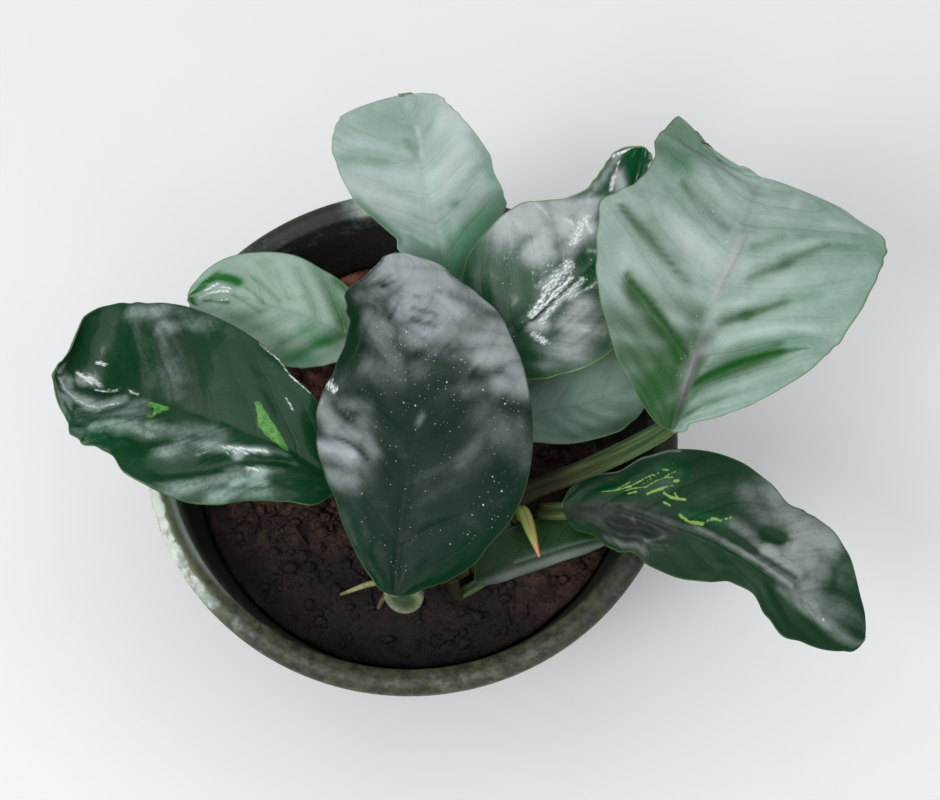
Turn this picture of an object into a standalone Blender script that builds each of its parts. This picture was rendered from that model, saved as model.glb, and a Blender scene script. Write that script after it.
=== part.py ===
"""Potted anubias: broad glossy leaves on grooved stalks, rising from a creeping rhizome.

Built in metres with +Z up. The origin is the centre of the pot's flat underside. Plan
positions in the tables below are millimetres: +X is right, +Y is the far side.
"""

import math

import bmesh
import bpy
from mathutils import Vector, noise

MM = 0.001
MERGE_DISTANCE = 0.00001
FLAT_CURL = 0.001
ARC_STEPS = 4
COLLECTION_NAME = "potted_anubias"
CUTTER_COLLECTION_NAME = "cutters"

# Pot, in millimetres
POT_HEIGHT = 80.0
RIM_RADIUS = 50.0
RIM_DEPTH = 8.0
RIM_INNER_RADIUS = 45.2
RIM_ROUNDING = 1.6
RIM_SKIRT_BEVEL = 0.5
WALL_THICKNESS = 1.4
NECK_RADIUS = 45.4
BASE_RADIUS = 31.5
BASE_THICKNESS = 2.0
BASE_BEVEL = 1.0
FLOOR_FILLET = 1.0
POT_STEPS = 48
DRAIN_HOLE_RADIUS = 3.5
DRAIN_HOLE_RING = 20.0
DRAIN_HOLE_COUNT = 6
DRAIN_HOLE_SIDES = 12

# Growing medium, in millimetres
GAP = 0.3
SOIL_TOP = 64.0
SOIL_TOP_BAND = 1.0
SOIL_SHOULDER = 56.0
SOIL_WALL_GAP = 0.6
SOIL_STEPS = 36
SOIL_RINGS = 8
SOIL_LUMP = 0.9
SOIL_LUMP_SPACING = 7.0
SOIL_MOUND = 3.5
SOIL_MOUND_REACH = 11.0
SOIL_DIP = 5.0
SOIL_DIP_PLACE = (42.0, 6.0)
SOIL_DIP_REACH = 14.0

# Rhizome, in millimetres
RHIZOME_PATH = [(-4, -25.5, 69.5), (2, -24, 70), (8, -22, 70.5), (15, -18.5, 70.5),
                (21.5, -14.5, 70.5)]
RHIZOME_RADIUS = 4.2
RHIZOME_RING_SWELL = 0.5
RHIZOME_RINGS = 6
RHIZOME_SAMPLES = 20
RHIZOME_END_SHARE = 0.55
RHIZOME_END_RISE = 6.0
GROOVE_GAP = 0.45

# Leaf blades
LEAF_THICKNESS = 0.9
LEAF_LENGTH_STEPS = 15
LEAF_WIDTH_STEPS = 8
LEAF_ROUGHNESS = 0.3

# Stalks, in millimetres
STALK_RADIUS = 1.5
STALK_TOP_RADIUS = 1.2
STALK_SAMPLES = 9
STALK_TOP_GAP = 0.4
STALK_TOP_INSET = 1.5
STALK_NECK = 4.0
STALK_NECK_DROP = 0.8
ROUND_SIDES = 2

# Each blade has a midrib through a few points from its base to its tip, and six rows from
# base to tip. A row holds, for the left and the right half in turn, the half width, the
# tilt at the midrib, the curl from midrib to margin and the forward sweep of the margin:
# (left width, right width, left tilt, right tilt, left curl, right curl, left sweep,
# right sweep), in millimetres and degrees. A bump is a soft swelling of the surface:
# (place along, place across, reach along, reach across, height).
LEAVES = {
    "leaf_centre": {
        "midrib": [(-2, -37, 98), (-1, -25, 102), (1, -12, 106), (0, 2, 108), (-1, 14, 108),
                   (-2, 24, 106)],
        "rows": [(11, 20, 15, 10, -20, -25, 0, 0),
                 (15, 22, 10, 8, -20, -25, 0, 0),
                 (17, 22, 5, 5, -20, -25, 0, 0),
                 (16, 21, 5, 0, -50, -20, 0, 0),
                 (15, 18, 5, 0, -45, -20, 0, 0),
                 (14, 14, 0, 0, 0, -10, 0, 0)],
        "bumps": [(0.75, 0.5, 0.12, 0.4, 1.5), (0.45, 0.6, 0.12, 0.3, 1.0)],
        "stalk": [(3.6, -23.6, 76.2), (2.5, -29, 79.5), (0, -36, 87)],
        "colour": (0.030, 0.062, 0.048),
    },
    "leaf_right": {
        "midrib": [(46, -9, 104), (49, 0, 111), (52, 10, 117), (57, 20, 120), (60, 28, 120),
                   (61.5, 33, 118.5)],
        "rows": [(13, 12, 25, 20, -20, -20, 0, 0),
                 (18, 19, 15, 15, -20, -20, 0, 0),
                 (22, 24, 5, 10, -20, -15, 0, 0),
                 (23, 26, 0, 5, -15, -15, 2, 1),
                 (25, 26, 0, 0, -15, -15, 8, 2),
                 (31, 22, 10, -5, 0, -15, 26, 5)],
        "bumps": [(0.8, -0.55, 0.10, 0.30, 2.0), (0.93, -0.6, 0.05, 0.35, -2.0)],
        "stalk": [(16.4, -14.2, 76.2), (22.6, -12, 80.5), (31, -11.6, 88.5)],
        "colour": (0.085, 0.165, 0.110),
    },
    "leaf_left": {
        "midrib": [(-12, -14, 90), (-24, -8, 95), (-36, -4, 97), (-48, 1, 95), (-57, 4, 92),
                   (-64, 5, 95)],
        "rows": [(14, 12, 10, 10, -10, -10, 0, 0),
                 (16, 16, 5, 10, -10, -10, 0, 0),
                 (17, 17, 0, 10, 0, -10, 0, 0),
                 (15, 18, 5, 10, 10, -10, 0, 0),
                 (14, 19, 15, 10, 20, -10, 0, 0),
                 (15, 15, 15, 10, 10, 0, 0, 0)],
        "bumps": [(0.85, 0.15, 0.15, 0.6, -3.0)],
        "stalk": [(-3.2, -25.4, 75.2), (-5, -22, 80)],
        "colour": (0.020, 0.075, 0.030),
    },
    "leaf_back_left": {
        "midrib": [(-8, 14, 86), (-16, 18, 88), (-25, 21, 89), (-34, 24, 88), (-42, 24, 86)],
        "rows": [(12, 10, 10, 10, -10, -10, 0, 0),
                 (12, 10, 10, 10, -10, -10, 0, 0),
                 (11, 10, 10, 10, -10, -10, 0, 0),
                 (11, 10, 10, 10, -10, -10, 0, 0),
                 (10, 9, 10, 10, -10, -10, 0, 0),
                 (8, 7, 10, 10, -10, -10, 0, 0)],
        "bumps": [],
        "stalk": [(0.2, -24.5, 76), (-1, -17, 79), (-4, 2, 82)],
        "colour": (0.090, 0.170, 0.105),
    },
    "leaf_back": {
        "midrib": [(8, 22, 93), (5, 31, 100), (3, 38, 106), (1, 45, 111), (-2, 52, 113)],
        "rows": [(5, 14, 10, -10, -10, -5, 0, 0),
                 (8, 15, 10, -5, -10, -10, 0, 0),
                 (13, 14, 10, 5, -10, -10, 0, 0),
                 (16, 12, 10, 10, -10, -10, 0, 0),
                 (19, 10, 10, 10, -10, -10, 1, -1),
                 (22, 8, 10, 10, -10, -10, 4, -3)],
        "bumps": [],
        "stalk": [(7, -22.4, 76.4), (7.4, -14, 80), (8, 8, 86)],
        "colour": (0.130, 0.210, 0.150),
    },
    "leaf_back_right": {
        "midrib": [(14, 9, 94), (22, 15, 98), (30, 21, 101), (36, 27, 103), (40, 35, 107),
                   (42, 42, 112)],
        "rows": [(20, 15, 15, 10, -15, -10, 0, 0),
                 (20, 17, 15, 10, -15, -10, 0, 0),
                 (18, 15, 10, 10, -10, -10, 0, 0),
                 (15, 10, 5, 10, -10, -10, 0, 0),
                 (10, 6, 20, 20, -10, -10, 0, 0),
                 (9, 6, 30, 30, -10, -10, 0, 0)],
        "bumps": [],
        "stalk": [(10.4, -20.8, 76.5), (10.8, -14, 81), (11, -2, 88)],
        "colour": (0.045, 0.085, 0.062),
    },
    "leaf_under": {
        "midrib": [(12, 0, 80), (22, 2, 83), (31, 3, 85), (40, 6, 86), (47, 11, 85)],
        "rows": [(9, 7, 5, 5, 0, 0, 0, 0)] * 6,
        "bumps": [],
        "stalk": [(13.8, -18.4, 76.6), (12.5, -12, 77)],
        "colour": (0.070, 0.125, 0.090),
    },
    "leaf_right_low": {
        "midrib": [(28, -16, 82), (37, -18, 85), (46, -21, 87), (56, -25, 88), (65, -31, 87),
                   (74, -36, 84), (82, -40, 80)],
        "rows": [(11, 8, 10, -10, 0, 0, 0, 0),
                 (14, 8, 10, -10, 0, 0, 0, 0),
                 (16, 9, 5, -10, 0, 0, 0, 0),
                 (14, 6, 0, -10, 0, 0, 0, 0),
                 (15, 9, -5, 0, 0, 0, 0, 0),
                 (11, 9, -5, 0, 0, 0, 0, 0)],
        "bumps": [(0.2, 0.5, 0.07, 0.35, -1.5)],
        "stalk": [(24.6, -14.2, 75)],
        "colour": (0.035, 0.085, 0.050),
    },
    "leaf_front_low": {
        "midrib": [(12, -27.5, 72), (18, -25, 74), (25, -23, 75.5), (31, -21.3, 76.5),
                   (37, -20, 76.5)],
        "rows": [(4, 4, 30, -30, 0, 0, 0, 0),
                 (5, 4, 25, -30, 0, 0, 0, 0),
                 (5, 3.5, 10, -30, 0, 0, 0, 0),
                 (5, 3.5, 5, -30, 0, 0, 0, 0),
                 (5, 3.5, 5, -30, 0, 0, 0, 0),
                 (4, 3.5, 5, -30, 0, 0, 0, 0)],
        "bumps": [],
        "stalk": [(7.5, -27.3, 74.4), (8.2, -28.8, 71.5)],
        "colour": (0.030, 0.080, 0.035),
    },
}

# Small pieces: a path of points and a radius at each point, in millimetres. A root's
# third number is its lift above the growing medium.
NEW_LEAF_PATH = [(20.4, -15.8, 76.2), (21, -17, 79), (22.1, -21, 80.5), (23.5, -26.2, 81)]
NEW_LEAF_RADII = [1.0, 1.7, 1.5, 0.3]
ROOTS = {
    "root_left": {"path": [(-5.4, -26.4, 2.2), (-9, -27, 1.8), (-13.4, -28.4, 1.2)],
                  "radii": [1.0, 0.9, 0.5]},
    "root_front": {"path": [(-4.6, -29.6, 2.0), (-6, -31, 1.6), (-7.6, -33, 1.1)],
                   "radii": [0.8, 0.7, 0.4]},
}

# Colour and roughness of each material that isn't a blade's.
FINISHES = {
    "pot": ((0.25, 0.29, 0.26), 0.5),
    "soil": ((0.045, 0.028, 0.020), 0.9),
    "rhizome": ((0.10, 0.12, 0.05), 0.6),
    "stalk": ((0.10, 0.19, 0.07), 0.4),
    "new_leaf": ((0.42, 0.50, 0.12), 0.4),
    "root": ((0.40, 0.42, 0.16), 0.5),
}


def clear_scene():
    """Remove every object that the scene starts with."""
    for item in list(bpy.data.objects):
        bpy.data.objects.remove(item, do_unlink=True)


def new_collection(name):
    """Return a new collection in the scene."""
    collection = bpy.data.collections.new(name)
    bpy.context.scene.collection.children.link(collection)
    return collection


def make_material(name, colour, roughness):
    """Return a Principled material with one colour."""
    material = bpy.data.materials.new(name)
    material.use_nodes = True
    shader = material.node_tree.nodes["Principled BSDF"]
    shader.inputs["Base Color"].default_value = (*colour, 1.0)
    shader.inputs["Roughness"].default_value = roughness
    shader.inputs["Metallic"].default_value = 0.0
    return material


def add_object(name, data, collection, material=None):
    """Link a new object for a mesh or a curve, with its material."""
    item = bpy.data.objects.new(name, data)
    collection.objects.link(item)
    if material is not None:
        data.materials.append(material)
    return item


def mark_cutter(item):
    """Show a cutter as a wire that is never rendered."""
    item.hide_render = True
    item.display_type = "WIRE"


def smooth_value(points, place):
    """Read a smooth curve through evenly spaced rows of numbers at a place from 0 to 1."""
    last = len(points) - 1
    scaled = min(max(place, 0.0), 1.0) * last
    index = min(int(scaled), last - 1)
    part = scaled - index
    start = points[index]
    end = points[index + 1]
    before = points[index - 1] if index > 0 else [2 * a - b for a, b in zip(start, end)]
    after = points[index + 2] if index + 2 <= last else [2 * b - a for a, b in zip(start, end)]
    value = []
    for a, b, c, d in zip(before, start, end, after):
        value.append(0.5 * (2 * b + (c - a) * part + (2 * a - 5 * b + 4 * c - d) * part ** 2
                            + (3 * b - a - 3 * c + d) * part ** 3))
    return value


def midrib_frame(midrib, place):
    """Return a midrib's point, its direction, the way to the right half and the way up."""
    step = 0.001
    centre = Vector(smooth_value(midrib, place))
    ahead = Vector(smooth_value(midrib, place + step))
    behind = Vector(smooth_value(midrib, place - step))
    along = (ahead - behind).normalized()
    side = along.cross(Vector((0, 0, 1))).normalized()
    return centre, along, side, side.cross(along)


def blade_point(leaf, place, across):
    """Return a blade's surface point: place runs base to tip, across runs left to right."""
    centre, along, side, up = midrib_frame(leaf["midrib"], place)
    row = smooth_value(leaf["rows"], place)
    half = 1 if across > 0 else 0
    ends = math.sqrt(max(4 * place * (1 - place), 0.0))
    width = row[half] * ends
    tilt = math.radians(row[2 + half])
    curl = math.radians(row[4 + half])
    if abs(curl) < FLAT_CURL:
        curl = FLAT_CURL
    reach = abs(across)
    angle = tilt + curl * reach
    out = (math.sin(angle) - math.sin(tilt)) / curl * width
    rise = (math.cos(tilt) - math.cos(angle)) / curl * width
    sweep = row[6 + half] * reach ** 1.5 * ends
    for bump_place, bump_across, reach_along, reach_across, height in leaf["bumps"]:
        fade = ((place - bump_place) / reach_along) ** 2
        fade += ((across - bump_across) / reach_across) ** 2
        rise += height * math.exp(-fade)
    if half == 0:
        out = -out
    return centre + side * out + up * rise + along * sweep


def make_blade(name, leaf, collection):
    """Shape a grid into a leaf blade and give it thickness."""
    cage = bmesh.new()
    bmesh.ops.create_grid(cage, x_segments=LEAF_LENGTH_STEPS, y_segments=LEAF_WIDTH_STEPS,
                          size=1.0)
    for vert in cage.verts:
        place = 0.5 - 0.5 * math.cos(math.pi * (vert.co.x + 1.0) / 2.0)
        vert.co = blade_point(leaf, place, -vert.co.y) * MM
    bmesh.ops.remove_doubles(cage, verts=cage.verts, dist=MERGE_DISTANCE)
    mesh = bpy.data.meshes.new(name)
    cage.to_mesh(mesh)
    cage.free()
    material = make_material(name, leaf["colour"], LEAF_ROUGHNESS)
    blade = add_object(name, mesh, collection, material)
    thick = blade.modifiers.new("thickness", "SOLIDIFY")
    thick.thickness = LEAF_THICKNESS * MM
    thick.offset = -1.0
    mesh.shade_smooth()


def make_tube(name, path, radii, samples, collection, material):
    """Make a round bar along a smooth path whose radius follows a list of radii."""
    curve = bpy.data.curves.new(name, "CURVE")
    curve.dimensions = "3D"
    curve.bevel_depth = MM
    curve.bevel_resolution = ROUND_SIDES
    curve.use_fill_caps = True
    spline = curve.splines.new("POLY")
    spline.points.add(samples - 1)
    radius_rows = [(radius,) for radius in radii]
    for index, point in enumerate(spline.points):
        place = index / (samples - 1)
        point.co = (*(Vector(smooth_value(path, place)) * MM), 1.0)
        point.radius = smooth_value(radius_rows, place)[0]
    return add_object(name, curve, collection, material)


def curve_to_mesh(item, collection, material):
    """Replace a curve object by a mesh object with welded caps."""
    name = item.name
    graph = bpy.context.evaluated_depsgraph_get()
    mesh = bpy.data.meshes.new_from_object(item.evaluated_get(graph))
    weld = bmesh.new()
    weld.from_mesh(mesh)
    bmesh.ops.remove_doubles(weld, verts=weld.verts, dist=MERGE_DISTANCE)
    weld.to_mesh(mesh)
    weld.free()
    place = item.matrix_world.copy()
    bpy.data.objects.remove(item, do_unlink=True)
    mesh.materials.clear()
    solid = add_object(name, mesh, collection, material)
    solid.matrix_world = place
    return solid


def turned(name, profile, steps, collection, material):
    """Turn a profile of (radius, height) points about the Z axis."""
    mesh = bpy.data.meshes.new(name)
    points = [(radius * MM, 0.0, height * MM) for radius, height in profile]
    edges = [(index, index + 1) for index in range(len(points) - 1)]
    mesh.from_pydata(points, edges, [])
    item = add_object(name, mesh, collection, material)
    screw = item.modifiers.new("turn", "SCREW")
    screw.steps = steps
    screw.render_steps = steps
    screw.use_merge_vertices = True
    screw.merge_threshold = MERGE_DISTANCE
    screw.use_smooth_shade = True
    return item


def inner_wall_radius(height):
    """Return the radius of the pot's inner wall at a height."""
    floor_radius = BASE_RADIUS - WALL_THICKNESS
    wall_foot = BASE_THICKNESS + FLOOR_FILLET
    part = (height - wall_foot) / (POT_HEIGHT - RIM_ROUNDING - wall_foot)
    return floor_radius + (RIM_INNER_RADIUS - floor_radius) * part


def arc(centre_radius, centre_height, radius, start, end):
    """Return points on an arc, its angles in degrees from the outward direction."""
    points = []
    for index in range(ARC_STEPS + 1):
        angle = math.radians(start + (end - start) * index / ARC_STEPS)
        points.append((centre_radius + radius * math.cos(angle),
                       centre_height + radius * math.sin(angle)))
    return points


def make_pot(collection, cutters):
    """Turn the pot with its rolled rim and cut the drain holes."""
    rim_top = POT_HEIGHT - RIM_ROUNDING
    profile = [(RIM_INNER_RADIUS, rim_top)]
    profile += arc(RIM_INNER_RADIUS + RIM_ROUNDING, rim_top, RIM_ROUNDING, 180, 90)[1:]
    profile += arc(RIM_RADIUS - RIM_ROUNDING, rim_top, RIM_ROUNDING, 90, 0)
    skirt = POT_HEIGHT - RIM_DEPTH
    profile += [(RIM_RADIUS - RIM_SKIRT_BEVEL, skirt + RIM_SKIRT_BEVEL)]
    profile += [(RIM_RADIUS - 2 * RIM_SKIRT_BEVEL, skirt), (NECK_RADIUS, skirt)]
    profile += [(BASE_RADIUS, BASE_BEVEL), (BASE_RADIUS - BASE_BEVEL, 0.0), (0.0, 0.0)]
    floor_radius = BASE_RADIUS - WALL_THICKNESS
    profile += [(0.0, BASE_THICKNESS), (floor_radius - FLOOR_FILLET, BASE_THICKNESS)]
    profile += [(floor_radius, BASE_THICKNESS + FLOOR_FILLET), (RIM_INNER_RADIUS, rim_top)]
    material = make_material("pot", *FINISHES["pot"])
    pot = turned("pot", profile, POT_STEPS, collection, material)
    weld = pot.modifiers.new("close", "WELD")
    weld.merge_threshold = MERGE_DISTANCE
    for index in range(DRAIN_HOLE_COUNT):
        angle = math.tau * (index + 0.5) / DRAIN_HOLE_COUNT
        bpy.ops.mesh.primitive_cylinder_add(
            vertices=DRAIN_HOLE_SIDES, radius=DRAIN_HOLE_RADIUS * MM,
            depth=4 * BASE_THICKNESS * MM, location=(
                DRAIN_HOLE_RING * MM * math.cos(angle), DRAIN_HOLE_RING * MM * math.sin(angle),
                0.5 * BASE_THICKNESS * MM))
        cutter = bpy.context.object
        cutter.name = f"drain_cutter_{index + 1}"
        for owner in list(cutter.users_collection):
            owner.objects.unlink(cutter)
        cutters.objects.link(cutter)
        mark_cutter(cutter)
        cut = pot.modifiers.new(f"drain_{index + 1}", "BOOLEAN")
        cut.operation = "DIFFERENCE"
        cut.solver = "EXACT"
        cut.object = cutter


def distance_to_rhizome(x, y):
    """Return the plan distance in millimetres from a place to the rhizome's line."""
    nearest = math.inf
    for index in range(RHIZOME_SAMPLES + 1):
        px, py, _ = smooth_value(RHIZOME_PATH, index / RHIZOME_SAMPLES)
        nearest = min(nearest, math.hypot(x - px, y - py))
    return nearest


def soil_height(x, y):
    """Return the height of the growing medium's top at a place, in millimetres."""
    lump = noise.noise(Vector((x, y, 0.0)) / SOIL_LUMP_SPACING)
    lump += 0.5 * noise.noise(Vector((x, y, 9.0)) * 2 / SOIL_LUMP_SPACING)
    mound = SOIL_MOUND * math.exp(-(distance_to_rhizome(x, y) / SOIL_MOUND_REACH) ** 2)
    dip_distance = math.hypot(x - SOIL_DIP_PLACE[0], y - SOIL_DIP_PLACE[1])
    dip = SOIL_DIP * math.exp(-(dip_distance / SOIL_DIP_REACH) ** 2)
    return SOIL_TOP + SOIL_LUMP * 2 * lump + mound - dip


def make_soil(collection, groove):
    """Turn the growing medium, raise its lumps and press the rhizome's groove into it."""
    floor = BASE_THICKNESS + GAP
    top_radius = inner_wall_radius(SOIL_TOP) - SOIL_WALL_GAP
    low_radius = inner_wall_radius(floor + FLOOR_FILLET) - SOIL_WALL_GAP
    profile = [(top_radius * ring / SOIL_RINGS, SOIL_TOP) for ring in range(SOIL_RINGS + 1)]
    profile += [(inner_wall_radius(SOIL_SHOULDER) - SOIL_WALL_GAP, SOIL_SHOULDER)]
    profile += [(low_radius, floor + FLOOR_FILLET), (low_radius - 2 * FLOOR_FILLET, floor)]
    profile += [(0.0, floor)]
    material = make_material("soil", *FINISHES["soil"])
    blank = turned("soil_blank", profile, SOIL_STEPS, collection, material)
    graph = bpy.context.evaluated_depsgraph_get()
    mesh = bpy.data.meshes.new_from_object(blank.evaluated_get(graph))
    bpy.data.objects.remove(blank, do_unlink=True)
    for vert in mesh.vertices:
        if vert.co.z > (SOIL_TOP - SOIL_TOP_BAND) * MM:
            height = soil_height(vert.co.x / MM, vert.co.y / MM)
            radius = math.hypot(vert.co.x, vert.co.y) / MM
            limit = inner_wall_radius(height) - SOIL_WALL_GAP
            inward = min(1.0, limit / max(radius, 1.0))
            vert.co = Vector((vert.co.x * inward, vert.co.y * inward, height * MM))
    mesh.materials.clear()
    soil = add_object("soil", mesh, collection, material)
    cut = soil.modifiers.new("rhizome_groove", "BOOLEAN")
    cut.operation = "DIFFERENCE"
    cut.solver = "EXACT"
    cut.object = groove


def rhizome_radii(extra):
    """Return the rhizome's radii, swollen at each leaf scar and rounded at both ends."""
    radii = []
    for index in range(RHIZOME_SAMPLES):
        place = index / (RHIZOME_SAMPLES - 1)
        ring = 0.5 + 0.5 * math.cos(math.tau * RHIZOME_RINGS * place)
        ends = min(1.0, RHIZOME_END_SHARE + RHIZOME_END_RISE * min(place, 1 - place))
        radii.append(RHIZOME_RADIUS * ends + RHIZOME_RING_SWELL * ring + extra)
    return radii


def make_rhizome(collection, cutters):
    """Make the creeping rhizome and the slightly larger body that presses its groove."""
    material = make_material("rhizome", *FINISHES["rhizome"])
    plain = make_tube("rhizome", RHIZOME_PATH, rhizome_radii(0.0), RHIZOME_SAMPLES,
                      collection, material)
    rhizome = curve_to_mesh(plain, collection, material)
    start = Vector(RHIZOME_PATH[0])
    end = Vector(RHIZOME_PATH[-1])
    start_shift = (start - Vector(RHIZOME_PATH[1])).normalized() * GAP
    end_shift = (end - Vector(RHIZOME_PATH[-2])).normalized() * GAP
    longer = [start + start_shift, *RHIZOME_PATH[1:-1], end + end_shift]
    swollen = make_tube("rhizome_groove_cutter", longer, rhizome_radii(GROOVE_GAP),
                        RHIZOME_SAMPLES, cutters, material)
    groove = curve_to_mesh(swollen, cutters, material)
    mark_cutter(groove)
    rhizome.data.shade_smooth()
    return groove


def make_plant(collection):
    """Make each leaf's blade and stalk, the new leaf's spike and the bare roots."""
    stalk_material = make_material("stalk", *FINISHES["stalk"])
    for name, leaf in LEAVES.items():
        make_blade(name, leaf, collection)
        stalk_name = name.replace("leaf", "stem")
        centre, along, _, up = midrib_frame(leaf["midrib"], 0.0)
        drop = LEAF_THICKNESS + STALK_TOP_RADIUS + STALK_TOP_GAP
        top = centre + along * STALK_TOP_INSET - up * drop
        path = [*leaf["stalk"], top - along * STALK_NECK - up * STALK_NECK_DROP, top]
        radii = [STALK_RADIUS, STALK_RADIUS, STALK_TOP_RADIUS]
        make_tube(stalk_name, path, radii, STALK_SAMPLES, collection, stalk_material)
    make_tube("new_leaf", NEW_LEAF_PATH, NEW_LEAF_RADII, STALK_SAMPLES, collection,
              make_material("new_leaf", *FINISHES["new_leaf"]))
    root_material = make_material("root", *FINISHES["root"])
    for name, root in ROOTS.items():
        path = [(x, y, soil_height(x, y) + lift) for x, y, lift in root["path"]]
        make_tube(name, path, root["radii"], STALK_SAMPLES, collection, root_material)


def main():
    """Build the whole plant in its pot."""
    clear_scene()
    collection = new_collection(COLLECTION_NAME)
    cutters = new_collection(CUTTER_COLLECTION_NAME)
    make_pot(collection, cutters)
    groove = make_rhizome(collection, cutters)
    make_soil(collection, groove)
    make_plant(collection)


main()
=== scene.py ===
"""Potted anubias: the finished look of every piece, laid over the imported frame.

Lengths are millimetres in the frame's axes: +X is right, +Y is the far side and +Z is up from
the pot's underside. Angles are degrees. The meshes are in metres. Colours are linear red, green
and blue.
"""

import math
import random

import bmesh
import bpy
import numpy as np
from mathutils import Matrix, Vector, noise

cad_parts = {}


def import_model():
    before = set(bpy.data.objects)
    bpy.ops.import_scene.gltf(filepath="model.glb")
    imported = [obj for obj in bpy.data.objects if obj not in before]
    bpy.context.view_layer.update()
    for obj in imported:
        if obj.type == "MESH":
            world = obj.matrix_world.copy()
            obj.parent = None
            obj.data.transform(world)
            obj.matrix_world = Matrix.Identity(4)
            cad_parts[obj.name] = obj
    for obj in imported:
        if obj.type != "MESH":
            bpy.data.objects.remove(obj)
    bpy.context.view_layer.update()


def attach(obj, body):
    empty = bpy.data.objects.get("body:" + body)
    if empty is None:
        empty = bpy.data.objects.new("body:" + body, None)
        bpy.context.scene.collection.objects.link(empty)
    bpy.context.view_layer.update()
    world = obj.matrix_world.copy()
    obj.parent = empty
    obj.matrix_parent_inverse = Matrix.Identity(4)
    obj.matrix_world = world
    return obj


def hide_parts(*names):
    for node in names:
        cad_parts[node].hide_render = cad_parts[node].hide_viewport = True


MM = 0.001
WELD_DISTANCE = 0.01

# Camera, fitted to the pot's rim
CAMERA_TARGET = (11.0, 5.7, 80.0)
CAMERA_ELEVATION = 69.4
CAMERA_DISTANCE = 380.0
CAMERA_LENS = 77.5
CAMERA_SENSOR = 36.0

# Stage. A light is (name, place, size, power), in metres and watts.
FLOOR_SIDE = 12.0
FLOOR_DROP = 0.0002
FLOOR_COLOURS = ((0.86, 0.86, 0.86), (0.90, 0.90, 0.90))
WORLD_COLOUR = (0.93, 0.97, 1.0, 1.0)
WORLD_STRENGTH = 0.32
LIGHTS_AIM = (0.01, 0.0, 0.09)
LIGHTS = [("overhead", (0.0, -0.25, 1.30), (1.6, 1.6), 12.2),
          ("window", (-0.40, -0.45, 0.95), (0.25, 0.35), 3.9)]

# Pot. A bearing is the middle of a part of the rim with weathering, partly painted light and
# shade, and a reach its half-width.
POT_HEIGHT = 80.0
RIM_RADIUS = 50.0
RIM_DEPTH = 8.0
RIM_INNER_RADIUS = 45.2
RIM_INNER_DEPTH = 2.6
RIM_MIDDLE_RADIUS = 48.4
WALL_THICKNESS = 1.4
NECK_RADIUS = 46.4
NECK_INSET = 1.0
NECK_DROP = 1.5
BASE_RADIUS = 31.5
BASE_THICKNESS = 2.0
POT_STEPS = 192
WALL_STEPS = 24
INNER_WALL_STEPS = 16
DRAIN_HOLE_RADIUS = 3.5
DRAIN_HOLE_RING = 20.0
DRAIN_HOLE_COUNT = 6
DRAIN_HOLE_SIDES = 32
CRUST_AND_LIGHT_BEARING = 186.0
CRUST_AND_LIGHT_REACH = 44.0
BACK_BEARING = 101.0
BACK_REACH = 6.0
FILM_AND_SHADE_BEARING = 275.0
FILM_AND_SHADE_REACH = 62.0
DARK_PLASTIC = ((0.014, 0.016, 0.014), (0.034, 0.038, 0.032))
# Painted shade on the inner wall, darker than the plastic
INNER_WALL_SHADE = ((0.011, 0.012, 0.012), (0.024, 0.027, 0.026))
OUTER_WALL = (0.075, 0.085, 0.066)
# Pale crust, partly painted light on the rim's left
CRUST_AND_LIGHT_COLOURS = ((0.200, 0.245, 0.220), (0.720, 0.780, 0.700))
# Olive film, partly painted shade over the front
OLIVE_FILM_AND_SHADE = ((0.018, 0.020, 0.009), (0.066, 0.072, 0.036))
MOSSY_FILM = (0.145, 0.185, 0.075)
CHALK = (0.150, 0.160, 0.145)
# Painted highlight on the left inner bevel
PAINTED_BEVEL_HIGHLIGHT = (0.300, 0.340, 0.345)

# Growing medium. A warm spot is (x, y, reach).
SOIL_TOP = 64.0
SOIL_WALL_GAP = 0.5
SOIL_GRID = 190
SOIL_EDGE_FADE = 1.5
SOIL_EDGE_DROP = 1.2
SOIL_SIDE_DROP = 8.0
SOIL_LUMP = 0.9
SOIL_LUMP_SPACING = 7.0
SOIL_MOUND = 3.5
SOIL_MOUND_REACH = 11.0
SOIL_DIP = 5.0
SOIL_DIP_PLACE = (42.0, 6.0)
SOIL_DIP_REACH = 14.0
CLOD_SPACING = 2.6
CLOD_HEIGHT = 1.1
CLOD_SINK = 0.55
# Clods are flattened where the painted shadow lies
FLATTENING_IN_PAINTED_SHADOW = 0.45
CRUMB_COUNT = 900
CRUMB_SEED = 5
FIBRE_COUNT = 90
FIBRE_RINGS = 6
FIBRE_SIDES = 5
WARM_SPOTS = ((-20, 16, 8), (-16, 36, 9))
WARM_MEDIUM = (0.62, 0.25, 0.17)
MEDIUM_BROWNS = ((0.028, 0.014, 0.009), (0.112, 0.058, 0.038))
MEDIUM_RED = (0.150, 0.070, 0.040)
MEDIUM_GREY = (0.058, 0.038, 0.040)
MEDIUM_DARK = (0.007, 0.005, 0.004)
# Painted shadow over the front of the medium and under the leaves
MEDIUM_PAINTED_SHADOW = (0.008, 0.005, 0.008)
PALE_GRAIN = (0.20, 0.14, 0.09)

# Rhizome
RHIZOME_PATH = [(-4, -25.5, 69.5), (2, -24, 70), (8, -22, 70.5), (15, -18.5, 70.5),
                (21.5, -14.5, 70.5)]
RHIZOME_RADIUS = 4.3
RHIZOME_RINGS = 9
RHIZOME_SAMPLES = 120
RHIZOME_SIDES = 40
RHIZOME_COLOURS = ((0.050, 0.075, 0.022), (0.135, 0.130, 0.050))
LEAF_SCAR = (0.035, 0.022, 0.012)

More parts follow.
